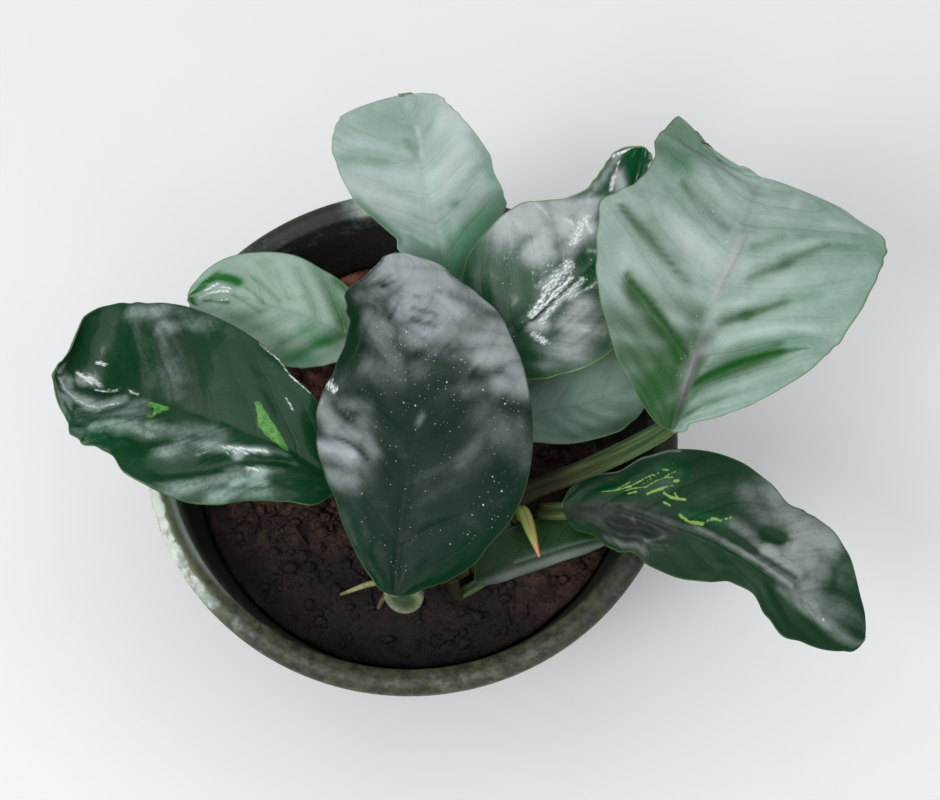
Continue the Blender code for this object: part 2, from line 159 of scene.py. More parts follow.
# Leaf blades
BLADE_LENGTH_STEPS = 130
BLADE_WIDTH_STEPS = 84
BLADE_KEEL = 1.3
BLADE_THIN = 0.36
FULL_FROM_END = 2.5
VEIN_BEND = 1.25
RIB_CHANNEL = 0.15
RIB_CHANNEL_REACH = 0.9
QUILT_RELIEF = 0.10
QUILT_FULL = 0.04
WAVE_OFFSET = 0.37
UNEVENNESS = ((0.22, 6.0, 3.0), (0.10, 2.6, 7.0))
# Painted sheen on the ridges of the folds and painted shade in their furrows; the quilt's painted
# shade along the side veins is strongest near the midrib
TONE_OF_FOLDS = 0.30
HERRINGBONE_REACH = 4.0
FAR = 99.0
MARGIN_WIDTH = 0.35

# Leaf surface. Brushes and clouds break up the tone's painted sheen. A brush is noise drawn out
# along the side veins: (per vein, across, swing). A cloud is (spacing, swing), and specks are
# (spacing, size, share).
BRUSHES = ((2.6, 0.9, 0.20), (7.0, 2.2, 0.11))
CLOUDS = ((6.0, 0.16), (2.2, 0.12), (0.7, 0.10))
SPECKS = ((0.55, 0.12, 0.50), (0.85, 0.13, 0.42), (1.9, 0.11, 0.50))
PATCH_COLOURS = ((0.040, 0.170, 0.024), (0.125, 0.330, 0.075))
STREAK_COLOUR = (0.250, 0.400, 0.090)
# Painted highlights: soft grey under the glint lines and bright white on them
SOFT_GLINT = (0.48, 0.54, 0.53)
BRIGHT_GLINT = (0.80, 0.84, 0.85)
SPECK_COLOUR = (0.62, 0.66, 0.66)
UNDERSIDE_GREEN = (0.055, 0.125, 0.040)
UNDERSIDE_VEIN = (0.150, 0.230, 0.085)
UNDERSIDE_NET = (0.100, 0.180, 0.065)

# Stalks. The cup is the lipped hollow at the bend of a stalk: its place along the stalk, its
# turn and spread around it in radians, and its depth as a share of the radius.
STALK_SAMPLES = 90
STALK_SIDES = 56
STALK_SINK = 0.75
STALK_COVER = 1.0
STALK_TAIL_PLACE = 0.10
STALK_TAIL_DROP = 1.45
STALK_TAIL_RADIUS = 0.45
STALK_FORWARD = 1.2
LEAF_TO_NECK = 4.0
NECK_UNDER_LEAF = 2.6
CUP_PLACE = 0.75
CUP_REACH = 0.17
CUP_TURN = 0.30
CUP_SPREAD = 1.15
CUP_DEPTH = 0.45
CUP_LIP = 0.06
STALK_GREENS = ((0.020, 0.050, 0.012), (0.085, 0.155, 0.040))
STALK_BELOW = (0.240, 0.340, 0.090)
STALK_GROOVE = (0.014, 0.038, 0.012)
STALK_FOOT = ((0.018, 0.013, 0.009), (0.048, 0.036, 0.020))
CUP_INSIDE = (0.026, 0.056, 0.018)
CUP_LIP_COLOURS = ((0.120, 0.140, 0.085), (0.250, 0.265, 0.175))

# New leaf and roots. A root's path is (x, y, height over the medium).
NEW_LEAF_PATH = [(20.4, -15.8, 75.2), (20.8, -16, 79), (22, -19.8, 80.8), (23.6, -25.2, 81)]
NEW_LEAF_RADII = [0.9, 1.25, 1.05, 0.20]
NEW_LEAF_GREENS = ((0.300, 0.450, 0.055), (0.500, 0.640, 0.150))
NEW_LEAF_STREAK = (0.50, 0.52, 0.24)
NEW_LEAF_VEIN = (0.100, 0.210, 0.020)
NEW_LEAF_BROWN = (0.330, 0.180, 0.055)
NEW_LEAF_TIP = (0.62, 0.23, 0.12)
ROOT_MOTTLE = (0.150, 0.100, 0.050)
ROOTS = {
    "root_left": {"path": [(-4.4, -26.2, 2.4), (-9, -27, 1.9), (-13.4, -28.6, 1.3)],
                  "radii": [0.75, 0.55, 0.30],
                  "colours": ((0.260, 0.275, 0.085), (0.420, 0.400, 0.180))},
    "root_front": {"path": [(-4.2, -28.8, 2.2), (-5.4, -30.2, 1.8), (-6.2, -31.4, 1.2)],
                   "radii": [0.70, 0.55, 0.35],
                   "colours": ((0.050, 0.038, 0.024), (0.125, 0.090, 0.060))},
}

# The leaves. Places along a blade run from 0 at its base to 1 at its tip, places across it from
# -1 at its left margin to 1 at its right one.
#   midrib       points from base to tip
#   rows         from base to tip: left and right width, tilt, curl and sweep, a pair of each
#   margins      (along, millimetres) by which the outline departs from the even widths
#   pulls        (along, reach, move) of the left margin
#   bumps        (along, across, reach along, reach across, height)
#   folds        ridges, or furrows below zero: (along, across, along, across, width, height)
#   wave         of the margins: (height, cycles, phase)
#   veins        (pairs, sweep at the base, sweep at the tip)
#   quilt        how much the surface and its painted sheen rise between the side veins
#   fine         how many times finer than the others the mesh is
#   stalk        points from the rhizome up, with stalk_radii up to the joint with the blade
#   neck         the stalk's point before the joint, where it isn't straight behind the base
#   cupped       whether the stalk opens into a cup at its bend
#   deep, pale   colours at tone 0 and 1, where the tone is mostly painted sheen and pale is its
#                grey-green; margin is the colour of the thin edge
#   grain        how much the tone's painted sheen is broken by noise
#   tone         of the whole blade
#   tones, tints (along, across, reach along, reach across, amount): painted sheen, or painted
#                shade below zero, and greener, or greyer below zero
#   sheens       soft lines of painted sheen, or painted shade below zero: (along, across, along,
#                across, width, tone), then the tint and the width at the far end where they
#                differ from 0 and from the first width
#   patches      light green: (along, across, along, across, half-width, half-width at the end)
#   streaks      yellow-green: (along, across, along, across, half-width)
#   glints       painted highlights: (along, across, along, across, width, brightness)
#   dust         places with specks, as in tones
CENTRE = {
    "midrib": [
        (-2, -37, 98), (-1, -25, 102), (1, -12, 106), (0, 2, 108), (-1, 14, 108), (-2, 24, 106)],
    "rows": [
        (11, 20, 15, 10, -20, -25, 0, 0), (15, 22, 10, 8, -20, -25, 0, 0),
        (17, 22, 5, 5, -20, -25, 0, 0), (16, 21, 5, 0, -50, -20, 0, 0),
        (15, 18, 5, 0, -45, -20, 0, 0), (14, 14, 0, 0, 0, -10, 0, 0)],
    "left_margin": [
        (0, 0), (0.05, -0.8), (0.16, -1.3), (0.22, -1.3), (0.28, -0.1), (0.34, 0.4), (0.45, 0),
        (0.52, 0.9), (0.56, 0.6), (0.62, -1.2), (0.7, -2.5), (0.76, -2.5), (0.82, -0.8),
        (0.88, 0.8), (0.93, -1.6), (0.97, -1.8), (1, 0)],
    "right_margin": [
        (0, 0), (0.02, -1.5), (0.05, 0.4), (0.1, 0.8), (0.16, -0.1), (0.28, -0.3), (0.52, -0.3),
        (0.64, 0.2), (0.76, 1.3), (0.82, 0.3), (0.88, -0.4), (0.95, 0.4), (1, 0)],
    "bumps": [(0.75, 0.5, 0.12, 0.4, 1.5), (0.45, 0.6, 0.12, 0.3, 1)],
    "folds": [
        (0.32, 0.1, 0.43, 0.75, 1.6, 0.35), (0.49, 0.3, 0.66, 0.88, 1.8, 0.4),
        (0.42, 0.08, 0.6, 0.9, 1.3, -0.35), (0.56, 0.1, 0.76, 0.9, 1.4, -0.3),
        (0.36, -0.11, 0.54, -0.89, 1.2, -0.45), (0.46, -0.1, 0.62, -0.7, 1.2, -0.3),
        (0.4, -0.75, 0.32, -0.45, 3, 0.5), (0.2, 0.2, 0.3, 0.85, 1.4, 0.25)],
    "wave": (0.35, 3, 0.2),
    "veins": (7, 0.22, 0.3),
    "quilt": 0.04,
    "stalk": [(3.6, -23.6, 76.2), (2.5, -28.5, 80), (0.6, -33.6, 86.5)],
    "stalk_radii": (1.9, 1.7, 2.1, 3.2, 2.2),
    "neck": (-0.4, -35.3, 92.6),
    "cupped": True,
    "finish": {"roughness": 0.42, "specular": 0.1},
    "deep": (0.006, 0.022, 0.011),
    "pale": (0.345, 0.385, 0.395),
    "margin": (0.06, 0.11, 0.045),
    "grain": 0.3,
    "tone": 0,
    "tones": [
        (0.12, -0.85, 0.1, 0.2, 0.03), (0.14, 0.75, 0.05, 0.3, 0.05),
        (0.55, -0.3, 0.12, 0.4, 0.05)],
    "tints": [(0.14, -0.85, 0.14, 0.3, 0.5), (0.1, 0.8, 0.12, 0.35, 0.4)],
    "sheens": [
        (0.98, -0.6, 0.97, 0.8, 5.5, 0.86, -0.1), (0.9, 0, 0.87, 0.7, 5, 0.92, -0.1),
        (0.84, 0.55, 0.8, 0.95, 4.6, 0.66), (0.78, 0.04, 0.74, 0.62, 5, 0.74),
        (0.83, 0.1, 0.85, 0.52, 3.2, 0.95), (0.8, 0.42, 0.74, 0.52, 1.8, 0.92),
        (0.73, 0.58, 0.7, 0.92, 3.4, 0.7), (0.69, 0.1, 0.68, 0.58, 3.8, 0.64),
        (0.67, 0.55, 0.66, 0.95, 2.8, 0.72), (0.85, -0.72, 0.82, -0.5, 2.6, 0.34),
        (0.8, -0.4, 0.66, -0.36, 2.6, 0.3), (0.6, 0.68, 0.62, 0.88, 2.6, 0.86, -0.1),
        (0.53, 0.74, 0.52, 0.96, 2.2, 0.66), (0.6, 0.32, 0.58, 0.56, 2.2, 0.3),
        (0.51, 0.48, 0.53, 0.66, 1.6, 0.36), (0.44, 0.88, 0.38, 0.95, 1.6, 0.28),
        (0.93, -0.52, 0.93, -0.15, 3.2, 0.78, -0.1), (0.84, -0.5, 0.84, -0.15, 2.8, 0.4),
        (0.76, -0.1, 0.8, -0.12, 2.2, 0.52), (0.76, -0.6, 0.7, -0.22, 3, 0.42),
        (0.62, -0.52, 0.58, -0.15, 2.2, 0.24), (0.53, -0.94, 0.46, -0.82, 2.4, 0.72, -0.1),
        (0.44, -0.78, 0.42, -0.56, 2.6, 0.54), (0.37, -0.95, 0.35, -0.7, 3.2, 0.62, -0.1),
        (0.36, -0.9, 0.35, -0.62, 1.4, 0.76, -0.1), (0.6, -0.95, 0.58, -0.55, 3.2, 0.24),
        (0.58, 0.1, 0.72, 0.6, 2.2, 0.42), (0.26, 0.15, 0.42, 0.8, 1.2, 0.12),
        (0.36, 0.42, 0.52, 0.8, 1.3, 0.2), (0.6, 0.26, 0.61, 0.4, 2.2, 0.36),
        (0.68, 0.42, 0.69, 0.58, 2.4, 0.66), (0.84, 0.44, 0.84, 0.56, 2, 0.82),
        (0.77, 0.84, 0.79, 0.92, 2, 0.52), (0.6, -0.55, 0.61, -0.45, 2, 0.36),
        (0.72, -0.5, 0.6, -0.12, 2.4, 0.38), (0.72, 0.2, 0.9, 0.85, 1.6, 0.72),
        (0.6, 0.2, 0.62, 0.55, 2.6, 0.38), (0.58, 0.9, 0.53, 0.95, 2.6, 0.66),
        (0.46, -0.52, 0.37, -0.42, 2, 0.46), (0.52, -0.72, 0.5, -0.45, 1.8, 0.34),
        (0.6, -0.35, 0.58, -0.05, 3, 0.28), (0.46, 0.6, 0.4, 0.95, 3, 0.26),
        (0.285, -0.9, 0.28, -0.66, 2, 0.52), (0.2, -0.92, 0.14, -0.9, 1.2, 0.14),
        (0.42, -0.8, 0.35, -0.45, 0.5, -0.25), (0.56, -0.84, 0.47, -0.6, 0.45, 0.34),
        (0.47, -0.6, 0.38, -0.22, 0.45, 0.24), (0.8, -0.9, 0.6, -0.88, 1.6, -0.1, 0.4),
        (0.84, -0.68, 0.6, -0.7, 0.5, 0.14), (0.765, 0.1, 0.735, 0.32, 0.5, -0.28),
        (0.73, 0.08, 0.7, 0.28, 0.5, -0.24), (0.7, 0.03, 0.66, 0.18, 0.5, -0.18),
        (0.79, -0.06, 0.74, -0.22, 0.5, -0.18), (0.83, 0.04, 0.8, 0.2, 0.5, -0.2),
        (0.88, -0.04, 0.86, -0.3, 0.5, -0.2), (0.62, 0.1, 0.575, 0.48, 1.2, -0.14, 0.1),
        (0.55, 0.52, 0.68, 0.88, 0.4, -0.2), (0.79, 0.66, 0.72, 0.74, 1.2, -0.12),
        (0.325, 0.16, 0.375, 0.56, 0.9, 0.08), (0.24, 0.6, 0.21, 0.78, 1.2, 0.1),
        (0.465, 0.09, 0.445, 0.05, 0.6, 0.4), (0.43, 0.1, 0.41, 0.12, 0.5, 0.16)],
    "glints": [
        (0.587, -0.98, 0.56, -0.8, 0.6, 1), (0.545, -0.99, 0.54, -0.95, 0.35, 0.85),
        (0.97, -0.97, 0.89, -0.985, 0.25, 0.6), (0.835, 0.5, 0.825, 0.53, 0.28, 0.9)],
    "dust": [
        (0.45, 0, 0.4, 0.8, 0.78), (0.47, 0.86, 0.18, 0.2, 1), (0.75, 0.3, 0.2, 0.7, 0.72),
        (0.25, 0.8, 0.1, 0.2, 1), (0.1, -0.2, 0.1, 0.6, 0.7)],
}
RIGHT = {
    "midrib": [
        (46, -9, 104), (49, 0, 111), (52, 10, 117), (57, 20, 120), (60, 28, 120),
        (61.5, 33, 118.5)],
    "rows": [
        (13, 12, 25, 20, -20, -20, 0, 0), (18, 19, 15, 15, -20, -20, 0, 0),
        (22, 24, 5, 10, -20, -15, 0, 0), (23, 26, 0, 5, -15, -15, 2, 1),
        (25, 26, 0, 0, -15, -15, 8, 2), (31, 22, 10, -5, 0, -15, 26, 5)],
    "left_margin": [
        (0, 0), (0.05, -0.3), (0.1, -0.6), (0.16, -0.3), (0.28, -1.5), (0.34, -1.3), (0.4, -0.5),
        (0.46, 1.1), (0.52, 2.7), (0.58, 0.5), (0.64, -1.7), (0.7, -2.2), (0.76, -1.8),
        (0.82, 0.2), (0.88, 0.9), (0.935, 2.6), (0.96, -1), (0.98, -3), (1, -2)],
    "right_margin": [
        (0, 0), (0.04, -2.4), (0.1, -1.4), (0.16, -0.6), (0.28, 0.9), (0.34, 0.3), (0.4, -0.7),
        (0.5, -1.7), (0.58, -1.4), (0.64, -0.6), (0.7, 0.6), (0.76, 2.4), (0.82, 3.9), (0.87, 1.2),
        (0.93, 1.5), (0.97, 1), (1, -0.5)],
    "pulls": [
        (0.982, 0.022, (-0.6, -3.6, 0)), (0.962, 0.014, (-1.6, 0, 0)),
        (0.93, 0.018, (1.2, 1.5, 0))],
    "bumps": [(0.8, -0.55, 0.1, 0.3, 2), (0.93, -0.6, 0.05, 0.35, -2)],
    "folds": [
        (0.16, 0.18, 0.3, 0.66, 1.5, -0.9), (0.345, 0.14, 0.395, 0.3, 1, -0.5),
        (0.395, 0.3, 0.485, 0.5, 1, -0.6), (0.51, 0.2, 0.59, 0.37, 1, -0.4),
        (0.59, 0.37, 0.69, 0.58, 1.1, -0.5), (0.6, 0.14, 0.68, 0.4, 1.2, -0.3),
        (0.38, -0.7, 0.23, -0.13, 1.4, -0.8), (0.53, -0.84, 0.43, -0.22, 1, -0.6),
        (0.72, -0.62, 0.64, -0.12, 1.1, -0.45), (0.3, 0.25, 0.44, 0.75, 1.8, 0.5),
        (0.43, 0.2, 0.58, 0.62, 1.5, 0.4), (0.55, 0.14, 0.69, 0.55, 1.6, 0.4),
        (0.6, -0.75, 0.54, -0.12, 2.2, 0.5), (0.43, -0.75, 0.34, -0.2, 2, 0.5)],
    "wave": (0.45, 2.5, 0.6),
    "veins": (9, 0.26, 0.12),
    "quilt": 0.05,
    "stalk": [(16.4, -14.2, 76.2), (22.6, -12, 80.5), (31, -10.8, 87.5)],
    "stalk_radii": (2, 1.8, 1.75, 1.75, 1.5),
    "neck": (40, -9.4, 97),
    "finish": {"roughness": 0.5, "specular": 0.3},
    "deep": (0.022, 0.072, 0.022),
    "pale": (0.37, 0.47, 0.425),
    "margin": (0.13, 0.22, 0.06),
    "grain": 0.22,
    "tone": 0.64,
    "tones": [
        (0.62, -0.7, 0.08, 0.3, -0.08), (0.97, 0.4, 0.04, 0.6, 0.12),
        (0.78, -0.75, 0.12, 0.35, -0.1), (0.9, 0.5, 0.12, 0.6, 0.08)],
    "tints": [(0.5, 0.75, 0.6, 0.45, 0.35), (0.8, -0.75, 0.2, 0.35, 0.2)],
    "sheens": [
        (0, -0.7, 0.05, 0.08, 4.6, -0.6, 0.1), (0.02, 0.02, 0.24, 0.03, 1.5, -0.3, -0.9),
        (0.04, 0.25, 0.06, 0.42, 2.6, -0.34, 0.1), (0.12, 0.34, 0.13, 0.55, 2, -0.16, 0.1),
        (0.12, 0.06, 0.22, 0.08, 1.8, -0.5, 0.1), (0.26, 0, 0.3, 0.08, 1.4, -0.36, -0.4),
        (0.05, -0.95, 0.16, -0.25, 5.4, -0.58, 0.2), (0.18, -0.92, 0.22, -0.12, 3.2, -0.5, 0.1),
        (0.28, -0.94, 0.28, -0.05, 2.6, -0.42), (0.36, -0.66, 0.35, -0.06, 1.9, -0.38),
        (0.39, -0.72, 0.325, -0.42, 0.4, -0.5, 0.2, 1.3),
        (0.325, -0.42, 0.23, -0.13, 1.3, -0.5, 0.2, 0.9),
        (0.36, -0.5, 0.27, -0.18, 1.4, -0.3, 0.1, 2.4),
        (0.54, -0.88, 0.49, -0.58, 0.3, -0.26, 0, 0.9),
        (0.49, -0.58, 0.44, -0.3, 0.9, -0.26, 0, 0.3),
        (0.52, -0.62, 0.47, -0.34, 1.2, -0.12, 0, 1.6), (0.44, -0.3, 0.42, -0.16, 0.5, -0.14),
        (0.6, -0.78, 0.6, -0.5, 1.6, -0.06), (0.53, -0.38, 0.5, -0.08, 1.8, 0.08, -0.3),
        (0.72, -0.66, 0.65, -0.4, 0.7, -0.14), (0.65, -0.4, 0.62, -0.1, 0.7, -0.15),
        (0.76, -0.55, 0.72, -0.2, 1.2, 0.05, -0.1), (0.8, -0.62, 0.86, -0.4, 0.7, -0.1),
        (0.8, -0.95, 0.8, -0.66, 2.6, -0.2, 0.2), (0.92, -0.95, 0.95, -0.6, 2.6, -0.24, 0.1),
        (0.165, 0.14, 0.23, 0.35, 1.2, -0.46, 0.2, 1.9),
        (0.23, 0.35, 0.29, 0.6, 1.9, -0.46, 0.2, 1.1),
        (0.29, 0.6, 0.35, 0.84, 1.1, -0.4, 0.2, 0.2), (0.2, 0.16, 0.27, 0.4, 1.6, -0.28, 0.1, 2.8),
        (0.27, 0.4, 0.34, 0.64, 2.8, -0.28, 0.1, 0.8),
        (0.345, 0.14, 0.395, 0.3, 0.5, -0.3, 0.1, 1), (0.395, 0.3, 0.5, 0.54, 1, -0.3, 0.1, 0.2),
        (0.37, 0.15, 0.43, 0.36, 1, -0.14, 0, 2), (0.485, 0.5, 0.54, 0.7, 0.8, -0.14, 0.2),
        (0.36, 0.7, 0.37, 0.86, 1.6, -0.12, 0.2), (0.51, 0.2, 0.59, 0.37, 0.5, -0.22, 0.1, 1.1),
        (0.59, 0.37, 0.69, 0.6, 1.1, -0.22, 0.1, 0.3), (0.54, 0.2, 0.63, 0.42, 1, -0.12, 0, 2.2),
        (0.68, 0.58, 0.72, 0.8, 0.9, -0.16, 0.2), (0.6, 0.12, 0.66, 0.28, 0.8, -0.14, 0.2),
        (0.68, 0.4, 0.72, 0.56, 0.7, -0.12, 0.2), (0.765, 0.8, 0.72, 0.97, 1.8, -0.1, 0.3),
        (0.34, 0.24, 0.43, 0.46, 1, 0.08), (0.43, 0.45, 0.52, 0.7, 1.2, 0.06),
        (0.52, 0.7, 0.64, 0.9, 1.5, 0.08, 0.1), (0.49, 0.3, 0.55, 0.44, 1, 0.12, -0.1),
        (0.6, 0.3, 0.66, 0.42, 1.2, 0.1), (0.82, 0.3, 0.91, 0.5, 0.8, 0.16, -0.2),
        (0.79, 0.6, 0.81, 0.82, 1, 0.12, -0.2), (0.42, 0.02, 0.62, 0, 0.5, 0.08, -0.6),
        (0.42, 0.055, 0.62, 0.045, 0.3, -0.12, -0.6), (0.64, 0, 0.9, 0, 1.8, -0.08, -0.1)],
    "dust": [(0.22, 0, 0.14, 0.22, 1), (0.75, -0.5, 0.25, 0.5, 0.5), (0.5, 0, 0.3, 0.4, 0.45)],
}
LEFT = {
    "midrib": [
        (-12, -14, 90), (-24, -8, 95), (-36, -4, 97), (-48, 1, 95), (-57, 4, 92), (-64, 5, 95)],
    "rows": [
        (14, 12, 10, 10, -10, -10, 0, 0), (16, 16, 5, 10, -10, -10, 0, 0),
        (17, 17, 0, 10, 0, -10, 0, 0), (15, 18, 5, 10, 10, -10, 0, 0),
        (14, 19, 15, 10, 20, -10, 0, 0), (15, 15, 15, 10, 10, 0, 0, 0)],
    "left_margin": [
        (0, 0), (0.02, 1.2), (0.1, -0.5), (0.16, -0.9), (0.22, -0.9), (0.28, -0.4), (0.34, -0.5),
        (0.46, -0.9), (0.52, -0.6), (0.58, -1.8), (0.64, -1.5), (0.7, 0.2), (0.76, 1.4),
        (0.82, 2.1), (0.88, 1.6), (0.93, 1.2), (0.97, 1.4), (1, 0)],
    "right_margin": [
        (0, 0), (0.03, -1.7), (0.1, -0.5), (0.16, -0.8), (0.22, -1.3), (0.28, 0.2), (0.34, 0.7),
        (0.46, 0.5), (0.58, 0.8), (0.7, -0.1), (0.76, 0.6), (0.82, 1.8), (0.88, 2.5), (0.925, 2.9),
        (0.96, -1.6), (0.98, -2), (1, 0)],
    "pulls": [
        (0.75, 0.035, (2, -0.4, 0)), (0.85, 0.035, (-1.3, 0.9, 0)), (0.9, 0.04, (-0.6, 0, 0))],
    "bumps": [(0.85, 0.15, 0.15, 0.6, -3)],
    "folds": [
        (0.72, -0.7, 0.54, -0.32, 1.5, 0.7), (0.48, -0.58, 0.34, -0.12, 1.5, 0.7),
        (0.36, -0.38, 0.16, -0.1, 1.3, 0.8), (0.42, -0.93, 0.16, -0.42, 2, 0.6),
        (0.62, -0.74, 0.4, -0.3, 1.3, -0.7), (0.44, -0.8, 0.25, -0.28, 1.4, -0.8),
        (0.14, -0.2, 0.34, -0.6, 1.2, -0.5), (0.66, 0.9, 0.52, 0.1, 1.5, 0.4),
        (0.42, 0.05, 0.56, 0.85, 1, -0.3), (0.75, 0.9, 0.6, 0.12, 1.2, 0.4)],
    "wave": (0.55, 4, 0.1),
    "veins": (8, 0.24, 0.3),
    "quilt": 0.05,
    "stalk": [(-3.2, -25.4, 75.2), (-5, -22, 80)],
    "stalk_radii": (1.8, 1.5, 1.4, 1.3),
    "finish": {"roughness": 0.34, "specular": 0.16, "coat": 0.15, "coat_roughness": 0.1},
    "deep": (0.004, 0.04, 0.013),
    "pale": (0.3, 0.4, 0.35),
    "margin": (0.05, 0.13, 0.035),
    "grain": 0.65,
    "tone": 0.02,
    "tones": [(0.13, -0.92, 0.06, 0.18, 0.08), (0.9, 0.85, 0.08, 0.2, 0.06)],
    "tints": [(0.75, -0.85, 0.25, 0.25, 0.25)],
    "sheens": [
        (0.905, -0.6, 0.915, 0, 1.7, 0.82), (0.84, -0.62, 0.83, -0.42, 2, 0.36),
        (0.76, -0.34, 0.765, -0.24, 1.3, 0.72), (0.28, -0.33, 0.28, -0.27, 1.2, 0.82),
        (0.2, -0.7, 0.2, -0.5, 1.5, 0.78), (0.975, 0.1, 0.975, 0.6, 0.8, 0.5),
        (0.63, 0.85, 0.5, 0.15, 4.2, 0.11, -0.3), (0.72, 0.93, 0.53, 0.9, 1.4, 0.22, -0.2),
        (0.5, 0.85, 0.44, 0.9, 1.2, 0.1), (0.6, 0.86, 0.52, 0.66, 0.5, -0.1),
        (0.66, 0.62, 0.6, 0.3, 0.6, 0.07, 0.3), (0.47, 0.1, 0.41, 0.12, 1, 0.05, -0.3),
        (0.955, 0.02, 0.93, -0.26, 2, 1, -0.2), (0.93, -0.26, 0.79, -0.32, 2.1, 1, -0.2),
        (0.79, -0.32, 0.67, -0.14, 1.7, 0.72, -0.2), (0.87, 0.08, 0.83, 0.12, 1.6, 0.6, -0.2),
        (0.95, -0.52, 0.91, -0.46, 2.2, 0.78, -0.2), (0.975, 0.25, 0.97, 0.55, 1.3, 0.72, -0.2),
        (0.98, -0.5, 0.95, -0.9, 2.2, 0.66), (0.9, -0.9, 0.7, -0.9, 2.4, 0.38, 0.2),
        (0.9, -0.7, 0.6, -0.7, 3, 0.26, 0.2), (0.64, -0.6, 0.56, -0.46, 1.4, 0.46),
        (0.62, -0.2, 0.58, -0.08, 1.6, 0.34), (0.76, 0.88, 0.64, 0.92, 1.6, 0.48),
        (0.62, 0.72, 0.5, 0.9, 1.6, 0.38), (0.3, -0.9, 0.17, -0.84, 2, 0.5, 0.1),
        (0.26, -0.7, 0.18, -0.7, 1.4, 0.64, 0.1), (0.3, -0.52, 0.27, -0.48, 1.3, 0.46),
        (0.46, -0.54, 0.43, -0.36, 1.4, 0.46), (0.53, -0.34, 0.5, -0.28, 1.1, 0.44),
        (0.8, -0.52, 0.72, -0.47, 1.4, 0.24), (0.72, -0.47, 0.57, -0.2, 1.5, 0.29, -0.1),
        (0.57, -0.54, 0.46, -0.3, 1.1, 0.25), (0.46, -0.28, 0.38, -0.13, 1.4, 0.32, -0.1),
        (0.41, -0.33, 0.33, -0.29, 1, 0.42, -0.2), (0.33, -0.29, 0.21, -0.2, 0.7, 0.55, -0.2),
        (0.4, -0.84, 0.34, -0.7, 2, 0.36, -0.1), (0.34, -0.68, 0.21, -0.52, 1.6, 0.4),
        (0.33, -0.88, 0.2, -0.82, 1.6, 0.16), (0.9, -0.85, 0.62, -0.85, 2.4, 0.08, 0.1),
        (0.7, -0.97, 0.6, -0.97, 0.8, 0.22), (0.88, 0.16, 0.8, 0.06, 1, 0.25, -0.2)],
    "patches": [
        (0.275, 0.34, 0.235, 0.17, 0.55, 1.5), (0.235, 0.17, 0.165, -0.01, 1.5, 0.45),
        (0.56, -0.08, 0.515, -0.07, 0.6, 0.55), (0.53, -0.1, 0.545, -0.26, 0.6, 0.35)],
    "glints": [
        (0.965, 0.02, 0.93, -0.24, 0.8, 1), (0.93, -0.24, 0.86, -0.32, 0.8, 1),
        (0.86, -0.32, 0.78, -0.32, 0.6, 0.95), (0.78, -0.32, 0.68, -0.2, 0.4, 0.8),
        (0.885, 0.17, 0.83, 0.08, 0.5, 0.9), (0.84, 0.14, 0.8, 0.06, 0.55, 0.8),
        (0.83, 0.32, 0.8, 0.3, 0.4, 0.75), (0.81, 0, 0.72, 0.02, 0.3, 0.75),
        (0.66, 0.02, 0.62, 0, 0.35, 0.65), (0.33, -0.285, 0.205, -0.195, 0.34, 1),
        (0.31, -0.33, 0.23, -0.26, 0.2, 0.85), (0.24, -0.5, 0.2, -0.5, 0.7, 0.75),
        (0.33, 0.985, 0.18, 0.985, 0.25, 0.9), (0.215, 0.66, 0.195, 0.6, 0.25, 0.9),
        (0.98, 0.2, 0.985, 0.5, 0.3, 0.5)],
    "dust": [(0.5, 0.2, 0.4, 0.8, 0.48)],
}
